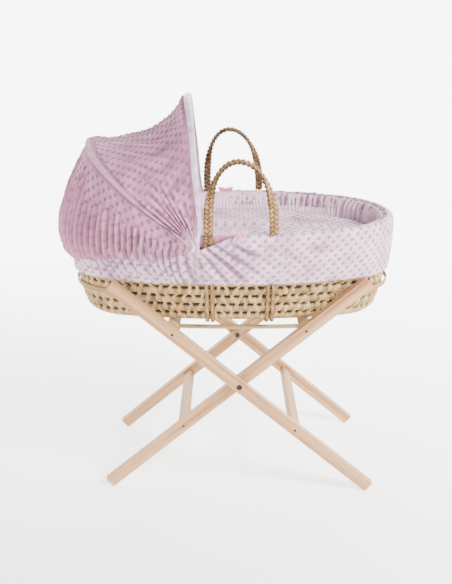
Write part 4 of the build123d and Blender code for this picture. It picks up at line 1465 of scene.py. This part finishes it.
thicknesses = ((cover, 0.0020), (frontCloth, 0.0018), (rearCloth, 0.0018), (innerCloth, 0.0010),
               (binding, 0.0008))
for piece, thick in thicknesses:
    piece.data.materials.append(lining)             # the wrong side of the cloth
    shell = piece.modifiers.new("cloth thickness", "SOLIDIFY")
    shell.thickness = thick
    shell.offset = -1
    shell.material_offset = 1

for piece in (frontCloth, innerCloth):
    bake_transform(piece)
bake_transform(rearCloth)

rearLength * 1.2
rearWide * rearLength * 1.2 * 0.8


# ---- floor, light and camera ----

studio = {
    "lamps": {                  # energy, size, place, target
        "key": (320.0, 1.1, (2.3, -1.5, 2.6), (0, 0, 0.6)),
        "fill": (14.0, 2.4, (-2.4, -1.6, 1.6), (0, 0, 0.6)),
        "back": (60.0, 2.0, (0.4, 2.4, 2.4), (0, 0, 0.7)),
    },
    "world": 0.22,
    "floorGlow": 0.70,          # in front of the object
    "farGlow": 4.6,             # behind it, where the floor becomes the backdrop
    "flat": 3.2,                # the floor is level this far out, then it curves up
    "rise": 4.5,
    "lens": 44.2,
    "eye": (0.001, -1.8326, 1.1856),
    "pitch": math.radians(69.68),
}


def floor():
    # a round dish: level near the object, curving up into the backdrop further out
    finish = Finish("studioFloor", Roughness=0.9, Specular_IOR_Level=0.1, Emission_Strength=studio["farGlow"])
    grain = finish.noise(finish.place(), 30.0, 2.0)
    finish.set(Base_Color=finish.mix(grain * 0.2, (0.94, 0.94, 0.94, 1), (0.90, 0.90, 0.90, 1)))
    back = finish.parts(finish.place())[1]
    near = studio["floorGlow"] / studio["farGlow"]
    glow = finish.mix(finish.band(back, -0.6, 2.0), (near, near, near, 1), (1, 1, 1, 1))
    finish.set(Emission_Color=glow)
    around = np.arange(96)[None, :] / 96 * 2 * math.pi
    radius = np.linspace(0, studio["flat"] + 3, 70)[:, None]
    up = studio["rise"] * smooth(studio["flat"], studio["flat"] + 3.2, radius)
    grid = vectors(radius * np.cos(around), radius * np.sin(around), up + 0 * around)
    ground = Shape()
    ground.add(grid, vectors(np.linspace(0, 6, 97)[None, :], radius), closeU=True)
    ground.make("studioGround", finish.material, None, weld=True)


def lamp(name, energy, size, place, target):
    light = bpy.data.lights.new(name, "AREA")
    light.energy, light.size = energy, size
    made = bpy.data.objects.new(name, light)
    made.location = place
    direction = made.location - type(made.location)(target)
    made.rotation_euler = direction.to_track_quat("Z", "Y").to_euler()
    bpy.context.scene.collection.objects.link(made)


def studioLight():
    world = bpy.data.worlds.new("studio")
    world.use_nodes = True
    world.node_tree.nodes["Background"].inputs["Color"].default_value = (1, 1, 1, 1)
    world.node_tree.nodes["Background"].inputs["Strength"].default_value = studio["world"]
    bpy.context.scene.world = world
    for name, values in studio["lamps"].items():
        lamp(name, *values)


def camera():
    eye = bpy.data.cameras.new("view")
    eye.lens = studio["lens"]
    eye.sensor_width = 36
    made = bpy.data.objects.new("view", eye)
    made.location = studio["eye"]
    made.rotation_euler = (studio["pitch"], 0, 0)
    bpy.context.scene.collection.objects.link(made)
    bpy.context.scene.camera = made


floor()
studioLight()
camera()
print("studio set")
